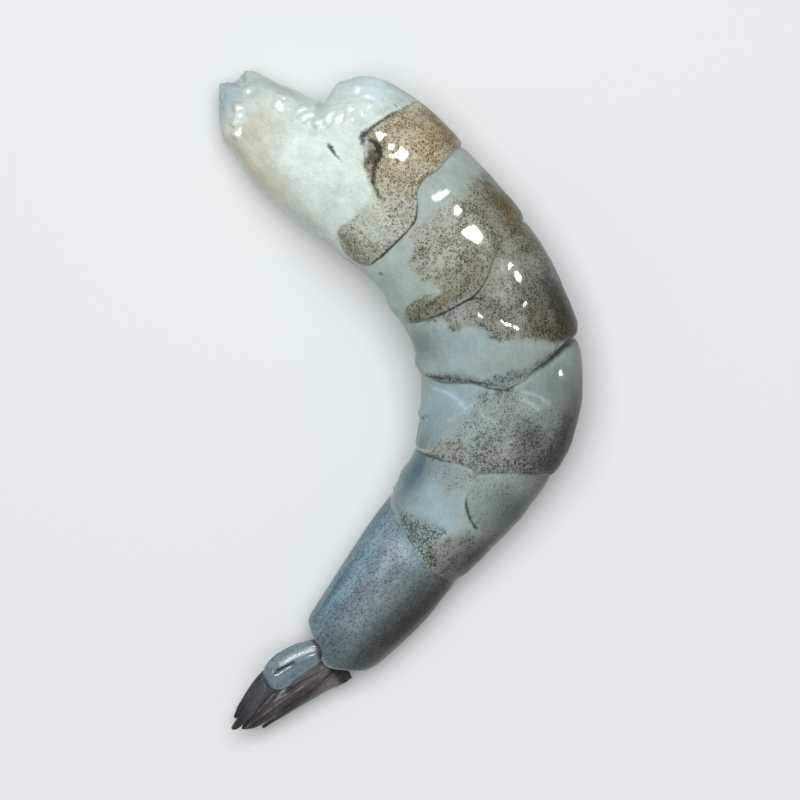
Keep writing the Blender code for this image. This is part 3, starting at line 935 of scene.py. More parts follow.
MILK = "#DDE6DC"
CREAM = "#C9C5B4"
BLUSH = "#C3BAA0"
FROST = "#A6BCC4"
PALE = "#A6B2AC"
SLATE = "#8FA4A8"
# pale blue of thin flesh, used where a painted sheen lies on it too
BLUE_FLESH_AND_SHEEN = "#98B3BA"
SEA = "#96A89D"
TAN = "#D3C4A2"
STONE = "#CDD2C4"
MOSS = "#9A9F86"
SMOKE = "#93988F"
OLIVE = "#7E8069"


class Dab(NamedTuple):
    """A soft spot of colour: its place, its reach along and over the skin, and its strength."""

    along: float
    across: float
    length: float
    spread: float
    colour: str
    strength: float


def lay_on(dabs, spots):
    """The colour at each spot after all dabs, in their order. The first one lies everywhere."""
    colour = np.tile(linear(dabs[0].colour), (len(spots), 1))
    for dab in dabs[1:]:
        part = dab.strength * near_place(spots, dab.along, dab.across, dab.length, dab.spread)
        colour = blend(colour, linear(dab.colour), part[:, None])
    return colour


STORED_AS = {"FLOAT": "value", "FLOAT_COLOR": "color", "FLOAT_VECTOR": "vector"}


def keep(piece, name, values, kind="FLOAT"):
    """Keeps a number on each point for the material, or a colour or a vector."""
    if kind == "FLOAT_COLOR":
        values = np.concatenate((values, np.ones((len(values), 1))), axis=1)
    made = piece.data.attributes.new(name, kind, "POINT")
    made.data.foreach_set(STORED_AS[kind], values.astype(np.float32).ravel())


print("milk white, linear:", np.round(linear(MILK), 3))

# %% Dabs on the flesh and the skin
FLESH_DABS = (
    Dab(55, 0.0, 60, 40, PALE, 1.0),
    Dab(10, 0.0, 15, 40, MILK, 1.0),
    Dab(19, -0.3, 8, 14, MILK, 0.95),
    Dab(15, 0.9, 6, 5, "#CDDBDB", 0.8),
    Dab(6, -0.25, 4.5, 5, CREAM, 0.85),
    Dab(3.5, -0.3, 2.2, 3.0, BLUSH, 0.5),
    Dab(9.5, -0.85, 4.0, 5, BLUSH, 0.75),
    Dab(0.0, 0.0, 1.8, 9, FROST, 0.85),
    # lighter at the beads on the rim of the cut end: milky muscle, partly painted highlight
    Dab(3.2, -0.25, 1.2, 3.0, "#E2EEF0", 0.7),
    Dab(13, -0.1, 4.0, 4.5, "#ECFAF6", 0.7),
    Dab(18.3, -0.4, 2.5, 3.5, "#C3D2CB", 0.6),
    # darker olive grey at the belly edge of the head: partly painted shade
    Dab(16, -0.88, 5.0, 3.0, "#AFB8A9", 0.6),
    # bluish and darker at the back edge of the head: see-through rim, and partly painted shade
    Dab(16.5, 1.0, 3.5, 3.0, "#A9BEC0", 0.6),
    Dab(27.5, 0.5, 4, 9, "#A9B3B0", 0.7),
    Dab(30.3, -0.4, 1.5, 3, "#A4AFA6", 0.6),
    Dab(34, -0.8, 6, 5, SEA, 0.6),
    Dab(47, -0.5, 5, 6, SLATE, 0.7),
    Dab(50, 0.25, 3.0, 5, "#8A9691", 0.7),
    Dab(44, -1.0, 22, 3.0, "#8C9A90", 0.5),
    Dab(52.5, 0.65, 3.0, 6, "#7E8A88", 0.85),
    Dab(45, -0.85, 4.0, 3.5, "#6E7D79", 0.8),
    Dab(55.5, -0.5, 3.5, 5, "#8BA6AE", 0.8),
    Dab(60, -0.8, 4.5, 3.5, "#8EA8AE", 0.7),
    # pale blue on the fifth segment, low and along the middle: cool see-through flesh, and partly a
    # painted sheen
    Dab(68, -0.6, 5, 4, "#9AB4BC", 0.8),
    Dab(71, -0.1, 3.0, 4, BLUE_FLESH_AND_SHEEN, 0.9),
    Dab(75, -0.3, 2.2, 6, "#7E8F8F", 0.8),
    Dab(66, 0.6, 3.5, 5, "#7F9092", 0.8),
    Dab(74, 0.8, 5, 5, OLIVE, 0.6),
    # darker along the whole back: denser pigment, and partly painted shade
    Dab(50, 1.0, 26, 5.0, "#6F7A76", 0.75),
    Dab(29.3, 0.55, 2.0, 5, "#98A39C", 0.6),
    Dab(41, 0.5, 2.0, 4, "#9AA19A", 0.6),
    Dab(68, -0.75, 6, 3.2, "#4A6069", 0.9),
    # darker at the back of each segment: denser pigment, and partly painted shade at the back's edge
    Dab(24.5, 1.0, 3.0, 3.5, "#857A60", 0.7),
    Dab(35.5, 1.0, 4.0, 4.0, "#6F6750", 0.8),
    Dab(46.5, 1.0, 3.8, 4.5, "#2C2513", 0.95),
    Dab(58.5, 1.0, 4.5, 4.5, "#313022", 0.9),
    Dab(51.8, -0.65, 1.2, 3.5, "#687473", 0.6),
    # darker at the back's edge of the fourth and fifth segments: pigment, and partly painted shade
    Dab(54.6, 0.92, 2.4, 3.5, "#3E4136", 0.7),
    Dab(65.5, 0.9, 3.0, 3.5, "#3F463E", 0.75),
    Dab(71.5, 0.92, 5.0, 4.0, "#2F3126", 0.8),
    Dab(5.0, 0.8, 3.5, 2.5, "#93A19C", 0.5),
    # light blue-white arc on the back lobe of the head: see-through rim, partly painted highlight
    Dab(17.6, 0.88, 2.4, 3.0, "#DCF0F4", 0.75),
    Dab(5.0, -0.88, 3.0, 3.0, "#B5AE98", 0.5),
    Dab(24.0, -0.5, 1.5, 1.8, "#A4B0A0", 0.6),
)
SKIN_DABS = (
    # the dark dabs at across 0.8 and more are denser pigment along the back, and partly painted shade at
    # the back's edge
    Dab(50, 0.0, 80, 60, SMOKE, 1.0),
    Dab(23.5, 0.6, 4.0, 9, TAN, 1.0),
    Dab(24.0, 0.95, 3.0, 4.8, "#947C52", 0.9),
    Dab(26.5, -0.4, 4.0, 5, STONE, 0.9),
    Dab(26.5, -0.78, 3.5, 3, MOSS, 0.9),
    Dab(34.5, 0.1, 4.5, 7, "#B2B2A4", 0.9),
    Dab(35.0, 0.92, 4.5, 5.4, "#66541E", 0.95),
    Dab(39.0, 0.3, 1.6, 5, "#8A7F65", 0.7),
    Dab(39.7, -0.1, 1.8, 8, "#807960", 0.85),
    Dab(39.7, -0.75, 2.0, 3, "#7A7765", 0.9),
    Dab(43.0, 0.3, 3.0, 6, "#8B8F82", 0.8),
    Dab(46.5, 0.95, 4.4, 6.4, "#34270A", 1.0),
    Dab(47.0, 0.55, 2.2, 3.5, "#6E6450", 0.7),
    Dab(52.5, -0.2, 1.5, 9, "#6E7982", 0.85),
    Dab(57.5, 0.2, 5.0, 7, "#8F9592", 0.8),
    Dab(58.5, 0.95, 5.0, 5.4, "#2D2912", 0.97),
    Dab(63.0, -0.4, 2.0, 4, "#98A09A", 0.7),
    Dab(66.0, 0.7, 4.0, 5, "#6A7470", 0.85),
    Dab(74.5, 0.8, 4.0, 6, "#45473C", 0.9),
    Dab(67.0, -0.4, 3.0, 4, "#7C8A8C", 0.8),
    Dab(59.8, -0.28, 2.4, 2.6, "#A6B6B7", 0.7),
    Dab(25.0, 0.12, 2.2, 3.4, "#A99D7F", 0.6),
    Dab(20.3, 0.16, 0.8, 1.4, "#4A3C1E", 1.0),
    # darker still at the back's edge: pigment, and partly painted shade
    Dab(46.8, 0.97, 3.8, 5.4, "#2E2207", 0.9),
    Dab(58.2, 0.98, 4.4, 4.6, "#2B270F", 0.8),
    Dab(57.5, 0.52, 2.5, 3.5, "#565E57", 0.6),
    Dab(65.5, 0.9, 3.0, 3.5, "#3F463E", 0.7),
    Dab(71.5, 0.92, 5.0, 4.0, "#2F3126", 0.75),
    Dab(24.0, -0.5, 1.5, 1.8, "#A9B4A3", 0.6),
)

strength = np.clip(skin * 1.1, 0, 1)[:, None]
tint = blend(lay_on(FLESH_DABS, spots), lay_on(SKIN_DABS, spots), strength)
print("mean flesh colour, linear:", np.round(tint.mean(0), 3))

# %% [markdown]
# ## Veins and the last touches
#
# A few pale lines run in the flesh. They are painted over the dabs, and so are the membrane and the
# threads. Then everything that the material has to know is kept on the points.

# %% Veins


class Vein(NamedTuple):
    """A pale line in the flesh or the skin: its course, width, colour and strength."""

    course: tuple
    width: float
    colour: str
    strength: float


VEINS = (
    Vein(((19.5, 0.46), (20.3, 0.6), (21.0, 0.76), (21.4, 0.95)), 0.35, "#CFC5AC", 0.6),
    Vein(((54.0, 0.18), (54.5, 0.32), (55.3, 0.49)), 0.16, "#B7C5C6", 0.7),
    Vein(((53.6, 0.27), (53.9, 0.45), (54.6, 0.6)), 0.16, "#B7C5C6", 0.6),
    Vein(((55.9, -0.22), (57.0, -0.15), (57.7, 0.03)), 0.18, "#AEBEC1", 0.6),
    Vein(((53.6, -0.8), (54.7, -0.55), (56.6, -0.36)), 0.4, "#B3CBD2", 0.6),
    Vein(((59.1, -0.55), (56.6, -0.36), (55.2, -0.27)), 0.28, "#AFC4C8", 0.6),
    Vein(((43.9, 0.19), (43.1, 0.18), (42.6, 0.26), (43.1, 0.34), (43.8, 0.3)), 0.2, "#A5A79B", 0.5),
)
for vein in VEINS:
    part = vein.strength * bell(from_line(vein.course)[0], vein.width)
    tint = blend(tint, linear(vein.colour), part[:, None])
tint = blend(tint, linear("#A9AFA2"), membrane[:, None])
tint = blend(tint, linear("#A39C84"), strand[:, None])
keep(flesh, "tint", tint, "FLOAT_COLOR")
keep(flesh, "spots", skin * (1 - strand))
keep(flesh, "lines_and_shade", lines_and_shade * (1 - strand))
keep(flesh, "wet", wet)
keep(flesh, "net", net)
keep(flesh, "place", np.stack([along, spots[:, 1], 0 * along], axis=1) * MM, "FLOAT_VECTOR")
print("kept six values on each of", len(along), "points of the flesh")

# %% [markdown]
# ## Tools for the materials
#
# A material is a tree of small nodes. One helper adds a node and feeds it, and the others stand for
# the steps that come again: maths, a range, noise, pigment spots, fine bumps and a mottled ground.
# Scales are worked out from real sizes in millimetres.

# %% Shader tools


def feed(tree, node, **links):
    """Gives each named input of a node a value, or the output of another node."""
    for name, value in links.items():
        socket = node.inputs[int(name[1:]) if name[1:].isdigit() else name.replace("_", " ")]
        if isinstance(value, bpy.types.NodeSocket):
            tree.links.new(value, socket)
        else:
            socket.default_value = value


def add_node(tree, kind, settings=None, **links):
    """Adds a shader node with these settings, and feeds its inputs."""
    node = tree.nodes.new(kind)
    for name, value in (settings or {}).items():
        setattr(node, name, value)
    feed(tree, node, **links)
    return node


def new_material(name):
    """A material with its tree, its shader and the place on the object, for patterns."""
    material = bpy.data.materials.new(name)
    material.use_nodes = True
    tree = material.node_tree
    where = add_node(tree, "ShaderNodeTexCoord").outputs["Object"]
    return material, tree, tree.nodes["Principled BSDF"], where


def kept(tree, name, output="Fac"):
    """What is kept on the points under this name."""
    return add_node(tree, "ShaderNodeAttribute", {"attribute_name": name}).outputs[output]


def maths(tree, operation, *values, clamp=False):
    """A maths node on numbers or on outputs of other nodes."""
    numbered = {f"i{n}": value for n, value in enumerate(values)}
    settings = {"operation": operation, "use_clamp": clamp}
    return add_node(tree, "ShaderNodeMath", settings, **numbered).outputs[0]


def add_range(tree, value, from_low, from_high, to_low, to_high):
    """Maps a value from one range to another, clamped."""
    node = add_node(tree, "ShaderNodeMapRange", Value=value, From_Min=from_low, From_Max=from_high,
                    To_Min=to_low, To_Max=to_high)
    return node.outputs["Result"]


def mix_over(tree, under, factor, hex_colour, blend_type="MIX"):
    """Lays one colour over another, as strongly as the factor says."""
    return add_node(tree, "ShaderNodeMix", {"data_type": "RGBA", "blend_type": blend_type},
                    Factor=factor, i6=under, i7=(*linear(hex_colour), 1)).outputs[2]


def darken(tree, under, factor, hex_colour):
    """Lets less light back, as pigment does, so that dark ground gets darker too."""
    return mix_over(tree, under, factor, hex_colour, "MULTIPLY")


def per_mm(size):
    """Texture scale that makes one cell or wave this many millimetres wide."""
    return 1 / (size * MM)


def add_noise(tree, where, size, detail, **more):
    """Soft noise with clouds of this size in millimetres."""
    return add_node(tree, "ShaderNodeTexNoise", Vector=where, Scale=per_mm(size), Detail=detail,
                    **more).outputs["Fac"]


def noise_range(tree, value, low, high):
    """Noise lies mostly from 0.3 to 0.7. This draws it out to the two values."""
    return add_range(tree, value, 0.3, 0.7, low, high)


def fine_bumps(tree, shader, where, size, detail, strength, depth):
    """Bumps too fine for the mesh, of this size and depth in millimetres."""
    grain = add_noise(tree, where, size, detail)
    bumps = add_node(tree, "ShaderNodeBump", Height=grain, Strength=strength, Distance=depth * MM)
    feed(tree, shader, Normal=bumps.outputs["Normal"])


SPOT_SHARPNESS = 9.0


def spot_layer(tree, where, cell, density, smallest, largest):
    """Round pigment spots: 1 inside a spot. They shrink with the density and differ in strength."""
    cells = add_node(tree, "ShaderNodeTexVoronoi", {"voronoi_dimensions": "3D"},
                     Vector=where, Scale=per_mm(cell), Randomness=0.8).outputs
    chance = add_node(tree, "ShaderNodeSeparateColor", Color=cells["Color"]).outputs
    radius = maths(tree, "MULTIPLY_ADD", chance["Red"], largest - smallest, smallest)
    edge = maths(tree, "SUBTRACT", maths(tree, "MULTIPLY", radius, density), cells["Distance"])
    soft = maths(tree, "MULTIPLY", edge, SPOT_SHARPNESS, clamp=True)
    power = maths(tree, "MULTIPLY_ADD", chance["Green"], 0.5, 0.5)
    return maths(tree, "MULTIPLY", soft, power)


class Mottling(NamedTuple):
    """How uneven a ground is: sizes in millimetres, and the darkest and lightest each may get."""

    cloud_size: float
    cloud_detail: float
    cloud_shades: tuple
    fibre_size: float
    fibre_stretch: float
    fibre_bend: float
    fibre_shades: tuple
    dust_shades: tuple


DUST_SIZE = 0.22


def mottled_ground(tree, where, look):
    """The painted tint with clouds, fibres along the body and fine dust. Also gives the clouds."""
    cloud = add_noise(tree, where, look.cloud_size, look.cloud_detail)
    stretched = add_node(tree, "ShaderNodeVectorMath", {"operation": "MULTIPLY"},
                         i0=kept(tree, "place", "Vector"), i1=(look.fibre_stretch, 1.0, 1.0))
    fibres = add_noise(tree, stretched.outputs[0], look.fibre_size, 4.0, Distortion=look.fibre_bend)
    dust = add_noise(tree, where, DUST_SIZE, 1.0)
    shade = maths(tree, "MULTIPLY", noise_range(tree, cloud, *look.cloud_shades),
                  noise_range(tree, fibres, *look.fibre_shades))
    shade = maths(tree, "MULTIPLY", shade, noise_range(tree, dust, *look.dust_shades))
    ground = add_node(tree, "ShaderNodeVectorMath", {"operation": "SCALE"},
                      Vector=kept(tree, "tint", "Color"), Scale=shade)
    return ground.outputs[0], cloud


print("a cell of half a millimetre needs the scale", per_mm(0.5))

# %% [markdown]
# ## Material: raw shrimp flesh
#
# Muscle with a thin wet skin. Light enters it, so it needs subsurface scattering. A water film gives it
# a sharp second gloss, which is the coat. The pigment spots are real cells of 0.1 to 0.3 mm, drawn by
# three layers of Voronoi cells over a soft halo, and their radius grows with the density kept on each
# point. Near the tail the pigment lies in a net of fine lines.

# %% Flesh material
FLESH_MOTTLING = Mottling(2.2, 5.0, (0.9, 1.08), 0.7, 0.35, 0.4, (0.93, 1.06), (0.93, 1.07))


def raw_flesh():
    """Wet muscle, painted point by point, with spots, a net, dark creases and a film of water."""
    material, tree, shader, where = new_material("raw_shrimp_flesh")
    spots, lines_and_shade, net, wet = (kept(tree, name) for name in ("spots", "lines_and_shade", "net", "wet"))
    ground, cloud = mottled_ground(tree, where, FLESH_MOTTLING)

    fine = spot_layer(tree, where, 0.27, spots, 0.34, 0.62)
    small = spot_layer(tree, where, 0.42, spots, 0.1, 0.5)
    large = spot_layer(tree, where, 0.9, spots, 0.0, 0.24)
    all_spots = maths(tree, "MAXIMUM", maths(tree, "MAXIMUM", fine, small), large)
    halo = spot_layer(tree, where, 0.52, spots, 0.35, 0.85)
    browned = darken(tree, ground, halo, "#D4D1CC")
    spotted = darken(tree, browned, maths(tree, "MULTIPLY", all_spots, 0.88), "#534C41")

    meshes = add_node(tree, "ShaderNodeTexVoronoi", {"feature": "DISTANCE_TO_EDGE"},
                      Vector=where, Scale=per_mm(0.4)).outputs["Distance"]
    gaps = add_noise(tree, where, 0.8, 2.0)
    lines = maths(tree, "MULTIPLY", add_range(tree, meshes, 0.2, 0.03, 0.0, 0.85),
                  add_range(tree, gaps, 0.34, 0.5, 0.0, 0.95))
    netted = mix_over(tree, spotted, maths(tree, "MULTIPLY", lines, net), "#26221D")

    ragged = maths(tree, "MULTIPLY_ADD", add_noise(tree, where, 0.45, 3.0), 0.9, -0.45)
    lined = add_range(tree, maths(tree, "ADD", ragged, lines_and_shade), 0.3, 0.85, 0.0, 0.85)
    fine_bumps(tree, shader, where, 0.4, 3.0, 0.4, 0.06)
    feed(tree, shader, Base_Color=mix_over(tree, netted, lined, "#241E16"),
         Roughness=noise_range(tree, cloud, 0.3, 0.42), IOR=1.38,
         Specular_IOR_Level=0.24,         # low, as the film of water matches most of it
         Subsurface_Weight=0.3, Subsurface_Radius=(1.0, 0.85, 0.75), Subsurface_Scale=0.9 * MM,
         Coat_Weight=add_range(tree, wet, 0.0, 1.0, 0.04, 1.0), Coat_Roughness=0.06, Coat_IOR=1.4)
    return material


flesh.data.materials.append(raw_flesh())
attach(flesh, "root")
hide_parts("flesh")
print("flesh:", len(flesh.data.polygons), "faces")

# %% [markdown]
# ## The tail shell
#
# The last segment keeps its shell, a smooth horny sleeve about a quarter of a millimetre thick. The
# flesh goes into it at the front and the fan comes out of it behind, so it has to be a real sleeve,
# with a lip at each end. It is made from a ball too: the poles are pushed in from both ends, and the
# rings between them run over the front lip, along the outside and round the rear lip.

# %% Tail shell
SHELL_SEGMENTS = 200
SHELL_RINGS = 220
SHELL_PROFILE = (   # share of the ball from pole to pole, ring on the body, inset in millimetres
    (0.00, 79.2, 6.6),
    (0.04, 79.1, 1.2),
    (0.14, 76.9, 0.66),
    (0.16, 76.62, 0.56),
    (0.18, 76.6, 0.44),
    (0.20, 76.75, 0.34),
    (0.25, 77.6, 0.2),
    (0.32, 79.2, 0.1),
    (0.40, 81.0, 0.0),
    (0.80, 91.6, 0.0),
    (0.85, 93.1, 0.07),
    (0.88, 93.8, 0.24),
    (0.90, 94.12, 0.45),
    (0.915, 94.22, 0.65),
    (0.93, 93.9, 0.85),
    (0.945, 93.5, 1.0),
    (0.96, 93.7, 1.3),
    (1.00, 94.3, 4.9),
)
SHELL_REAR = (      # how far the rear margin lies behind or before the ring at 94, from belly to back
    (-1, -1.9), (-0.6, -1.0), (-0.3, -0.6), (-0.05, 0.2), (0.15, 0.5), (0.35, 0.35), (0.65, -0.5),
    (1, -1.8),
)
KEEL_RISE = 0.16
KEEL_SPREAD = 9           # in degrees round the back
DENT_SIZES = ((6.0, 11, 0.1), (1.6, 12, 0.025))     # size, seed of the noise, and depth

shell, shell_ring, shell_turn = new_ball("shrimp_tail_shell", SHELL_SEGMENTS, SHELL_RINGS)
share = shell_ring / SHELL_RINGS
profile = np.array(SHELL_PROFILE)
place = np.interp(share, profile[:, 0], profile[:, 1])
inset = np.interp(share, profile[:, 0], profile[:, 2])
shell_across, shell_rise = section(shell_turn)
rear_part = ramp(86, 94, place)
shell_along = place + shift_to_folds(place, shell_across) * (1 - rear_part)
shell_along += between(SHELL_REAR, 1, shell_across) * rear_part
reach_out = depth_at(shell_along, shell_across)
tightness = np.clip(1 - inset / reach_out, 0, 1)
tightness[(shell_ring == 0) | (shell_ring == SHELL_RINGS)] = 0
keel = KEEL_RISE * bell(turn_between(np.degrees(shell_turn), 0), KEEL_SPREAD)
keel *= ramp(0.3, 0.5, share) * ramp(0.9, 0.8, share)
shell_points = on_body(
    shell_along,
    (shell_across * reach_out + keel) * tightness,
    shell_rise * between(STATIONS, FLANK, shell_along) * tightness,
)
outside = ramp(0.18, 0.26, share) * ramp(0.92, 0.86, share)
dents = sum(lumps(shell_points, size, 2, seed) * depth for size, seed, depth in DENT_SIZES)
shell_points[:, 2] += dents * outside * shell_rise
set_shape(shell, shell_points)

# %% [markdown]
# ## Colours of the tail shell
#
# Horny shell over dark flesh: slate grey, bluish along the belly edge, olive brown along the back, and
# fine dark dots all over. Light and shade are painted on it as well: a sheen in a light stripe where the
# flank is fullest, a highlight behind the front lip, lighter lips, a band of shade low on the flank,
# shade at the edge of the back and a shadow just inside the rear opening.

# %% Tail shell paint
SHELL_DABS = (
    Dab(85, 0.0, 40, 40, "#738086", 1.0),
    # a light stripe where the flank is fullest: painted sheen
    Dab(82, -0.15, 8, 3.2, "#85959B", 0.8),
    # light patch just behind the front lip: painted highlight
    Dab(77.4, -0.2, 1.4, 5, "#A9BBC4", 0.8),
    Dab(84, -0.8, 9, 3.4, "#9BBECB", 0.85),
    # a dark band low on the flank: painted shade
    Dab(86, -0.84, 7, 1.7, "#46606D", 0.85),
    Dab(79, -0.98, 4, 2.0, "#647C86", 0.8),
    Dab(84, 0.42, 8, 2.4, "#4A5553", 0.65),
    # a thin light streak near the front: painted sheen
    Dab(79.5, -0.3, 2.6, 1.1, "#A9B7BE", 0.7),
    Dab(87, 0.1, 7, 1.2, "#8A9899", 0.5),
    # olive brown along the back, darkest at its edge: pigment, and painted shade at the very edge
    Dab(84, 0.85, 11, 5.4, "#373626", 0.96),
    Dab(83, 0.97, 9, 3.6, "#14140B", 0.9),
    Dab(92.5, 0.0, 2.2, 6, "#56666B", 0.75),
    Dab(90, -0.6, 3.0, 2.0, "#64808F", 0.5),
    Dab(90, 0.62, 3.5, 3.0, "#414846", 0.7),
)
shell_spots = np.stack([shell_along, over_skin(shell_across)], axis=1)
plug = ramp(0.935, 0.95, share)[:, None]     # the flesh that shows in the rear opening
keep(shell, "tint", blend(lay_on(SHELL_DABS, shell_spots), linear("#A8A59C"), plug), "FLOAT_COLOR")
# lighter lips at both ends: the thin edge of the shell, partly a painted highlight
rim = np.maximum(0.6 * bell(share - 0.175, 0.012), 0.7 * bell(share - 0.905, 0.016))
keep(shell, "rim", rim)
# a dark ring just inside the rear opening: painted shadow
keep(shell, "lines_and_shade", 0.85 * bell(share - 0.935, 0.012))
keep(shell, "place", np.stack([shell_along, shell_spots[:, 1], 0 * share], axis=1) * MM, "FLOAT_VECTOR")
print("dabs on the tail shell:", len(SHELL_DABS))

# %% [markdown]
# ## Material: horny shell, chitin
#
# Thin, hard and polished by water, with an IOR of about 1.5. Light goes a little way into it and
# comes back from the flesh under it. The dots are pigment cells of about 0.2 mm.

# %% Cuticle material
SHELL_MOTTLING = Mottling(1.8, 4.0, (0.86, 1.12), 0.6, 0.22, 0.0, (0.84, 1.14), (0.85, 1.15))


def horny_cuticle(name, dot_size, dot_strength, rim_colour, film, film_roughness):
    """Shell. The weight of its film of water is a number or the name of a kept value."""
    material, tree, shader, where = new_material(name)
    ground, cloud = mottled_ground(tree, where, SHELL_MOTTLING)

    fine = spot_layer(tree, where, dot_size, 1.0, 0.2, 0.56)
    more = spot_layer(tree, where, dot_size * 1.5, 1.0, 0.0, 0.42)
    dots = maths(tree, "MAXIMUM", fine, more)
    halo = spot_layer(tree, where, dot_size * 2, 1.0, 0.3, 0.8)
    greyed = darken(tree, ground, maths(tree, "MULTIPLY", halo, dot_strength), "#D6D6D6")
    dotted = darken(tree, greyed, maths(tree, "MULTIPLY", dots, dot_strength), "#606163")
    # dark lines, and painted shade where it is kept on the points
    lined_and_shaded = mix_over(tree, dotted, kept(tree, "lines_and_shade"), "#26221F")

    fine_bumps(tree, shader, where, 0.3, 3.0, 0.3, 0.04)
    feed(tree, shader, Base_Color=mix_over(tree, lined_and_shaded, kept(tree, "rim"), rim_colour),
         Roughness=noise_range(tree, cloud, 0.3, 0.42), IOR=1.5, Specular_IOR_Level=0.2,
         Subsurface_Weight=0.2, Subsurface_Radius=(1.0, 0.9, 0.8), Subsurface_Scale=0.6 * MM,
         Coat_Weight=kept(tree, film) if isinstance(film, str) else film,
         Coat_Roughness=film_roughness, Coat_IOR=1.4)
    return material


shell.data.materials.append(horny_cuticle("tail_shell_chitin", 0.26, 0.62, "#A9B8BD", 0.08, 0.3))
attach(shell, "root")
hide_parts("tail_shell")
print("tail shell:", len(shell.data.polygons), "faces")

# %% [markdown]
# ## Plan of the tail fan
#
# Five plates: the narrow telson at the back and two pairs of uropods, folded together like a half
# closed fan. The outer pair has a thick pale base that lies like a scale on the thinner blade beyond
# it, with a slit in it. Each plate is planned flat, as its outline and the lines on it.

# %% Fan plan


class Plate(NamedTuple):
    """One plate of the fan, placed on the end of the tail. Millimetres and degrees."""

    node: str
    root_back: float
    root_up: float
    heading: float
    pitch: float
    roll: float
    thickness: float
    cup: float
    outline: tuple        # (place along it, one edge, the other edge)
    base: tuple           # outline of the thick pale base, if it has one
    lines: tuple          # (course, width, height, darkness) of each ridge or slit


def even(halves):
    """The outline of a plate that reaches as far to one side as to the other."""
    return tuple((place, -half, half) for place, half in halves)


OUTER = (
    (-1.0, -1.6, 0.9), (0, -2.4, 1.3), (1, -3.0, 1.5), (2.5, -3.5, 1.5), (4, -3.75, 1.4),
    (5.5, -3.5, 1.2), (6.6, -2.8, 0.7), (7.3, -2.4, 0.3), (8.2, -2.0, 0.3), (9.5, -1.35, 0.5),
    (11, -0.8, 0.75), (12.3, -0.5, 0.75), (13.4, -0.2, 0.6), (14.2, 0.1, 0.3),
)
OUTER_BASE = (
    (-3, -3.0), (0, -3.9), (2.5, -4.7), (4.6, -4.7), (6.0, -3.7), (6.7, -2.1), (6.8, -0.7),
    (6.0, 0.5), (4.6, 1.1), (3.0, 1.7), (1.2, 2.4), (-3, 2.6),
)
OUTER_LINES = (
    (((2.5, -1.95), (3.9, -2.3), (5.2, -2.5)), 0.17, -0.34, 1.0),
    (((-0.8, -1.45), (0.4, -2.1), (1.8, -2.55), (3.0, -2.8), (4.4, -2.95)), 0.32, 0.36, 0.0),
    (((0.0, -0.6), (2.5, -0.3), (5.0, -0.2)), 0.5, 0.12, 0.0),
    (((7.6, -1.2), (9.5, -0.5), (11.5, -0.1), (13.2, 0.1)), 0.22, 0.14, 0.0),
    (((7.4, -0.4), (9.0, 0.2), (10.8, 0.5)), 0.14, -0.1, 0.5),
)
OUTER_LOWER = (
    (-1.0, -0.9, 0.9), (0, -1.2, 1.2), (2, -1.8, 1.8), (4, -2.2, 2.2), (6, -2.4, 2.4), (8, -2.2, 2.2),
    (10, -1.6, 1.7), (11.8, -0.9, 1.0), (12.8, -0.3, 0.4), (13.2, -0.05, 0.1),
)
OUTER_LOWER_BASE = (
    (-3, -2.2), (0, -2.6), (4, -3.2), (5.8, -2.8), (6.6, -1.4), (6.6, 0.4), (5.6, 1.6), (3.4, 2.4),
    (0, 2.6), (-3, 2.6),
)
INNER = (
    (-1.0, -0.6, 0.7), (0, -0.9, 1.1), (1.2, -1.3, 1.35), (2.7, -1.7, 1.45), (4.6, -2.0, 1.4),
    (6.4, -2.1, 1.25), (7.7, -2.0, 1.15), (9.6, -1.6, 1.0), (11, -1.3, 0.85), (12.2, -1.0, 0.6),
    (13.0, -0.8, 0.25), (13.6, -0.5, -0.2),
)
INNER_LINES = (
    (((-0.5, -0.2), (3.0, -0.7), (6.0, -0.9)), 0.28, 0.2, 0.0),
    (((1.5, -0.1), (4.0, -0.45), (6.2, -0.6)), 0.16, -0.14, 0.6),
    (((0.0, 0.5), (4.0, 0.3), (8.0, -0.1), (12.5, -0.35)), 0.35, 0.14, 0.0),
    (((7.6, -1.2), (9.4, -0.9), (11.0, -0.75)), 0.15, -0.08, 0.5),
)
INNER_LOWER = even((
    (-1.0, 0.6), (0, 0.8), (2, 1.4), (4, 1.75), (6, 1.85), (8, 1.65), (10, 1.1), (11.4, 0.5), (12.2, 0.1),
))
TELSON = even((
    (-1.0, 0.8), (0, 1.1), (1.4, 1.4), (4, 1.3), (7, 1.05), (9.5, 0.7), (11.2, 0.35), (12.0, 0.1),
))
TELSON_LINES = (
    (((0, 0), (5, 0), (11, 0)), 0.2, -0.12, 0.3),
    (((0, 0.55), (5, 0.5), (10, 0.25)), 0.16, 0.1, 0.0),
    (((0, -0.55), (5, -0.5), (10, -0.25)), 0.16, 0.1, 0.0),
)
PLATES = (
    Plate("telson", 3.2, 0.0, -145.5, 0.0, 90, 1.1, 0.25, TELSON, (), TELSON_LINES),
    Plate("uropod_outer_upper", -1.3, 2.35, -138.0, -3.0, -34, 0.8, 0.7, OUTER, OUTER_BASE, OUTER_LINES),
    Plate("uropod_inner_upper", 0.9, 1.2, -141.0, -1.0, -20, 0.7, 0.3, INNER, (), INNER_LINES),
    Plate("uropod_outer_lower", -1.6, -2.0, -139.5, 3.0, 33, 0.8, -0.4, OUTER_LOWER,
          OUTER_LOWER_BASE, OUTER_LINES),
    Plate("uropod_inner_lower", 0.7, -1.9, -139.5, 2.0, 60, 0.7, -0.3, INNER_LOWER, (), INNER_LINES),
)
print("plates:", [plate.node for plate in PLATES])

# %% [markdown]
# ## Making a plate
#
# A plate is made as by hand: a grid is added, its rows are drawn out to the outline, its middle is
# bent and ridged, and Solidify and Subdivision Surface give it its body. It is thickest at the root,
# where it runs into the shell, and thins out towards its edges and its tip.

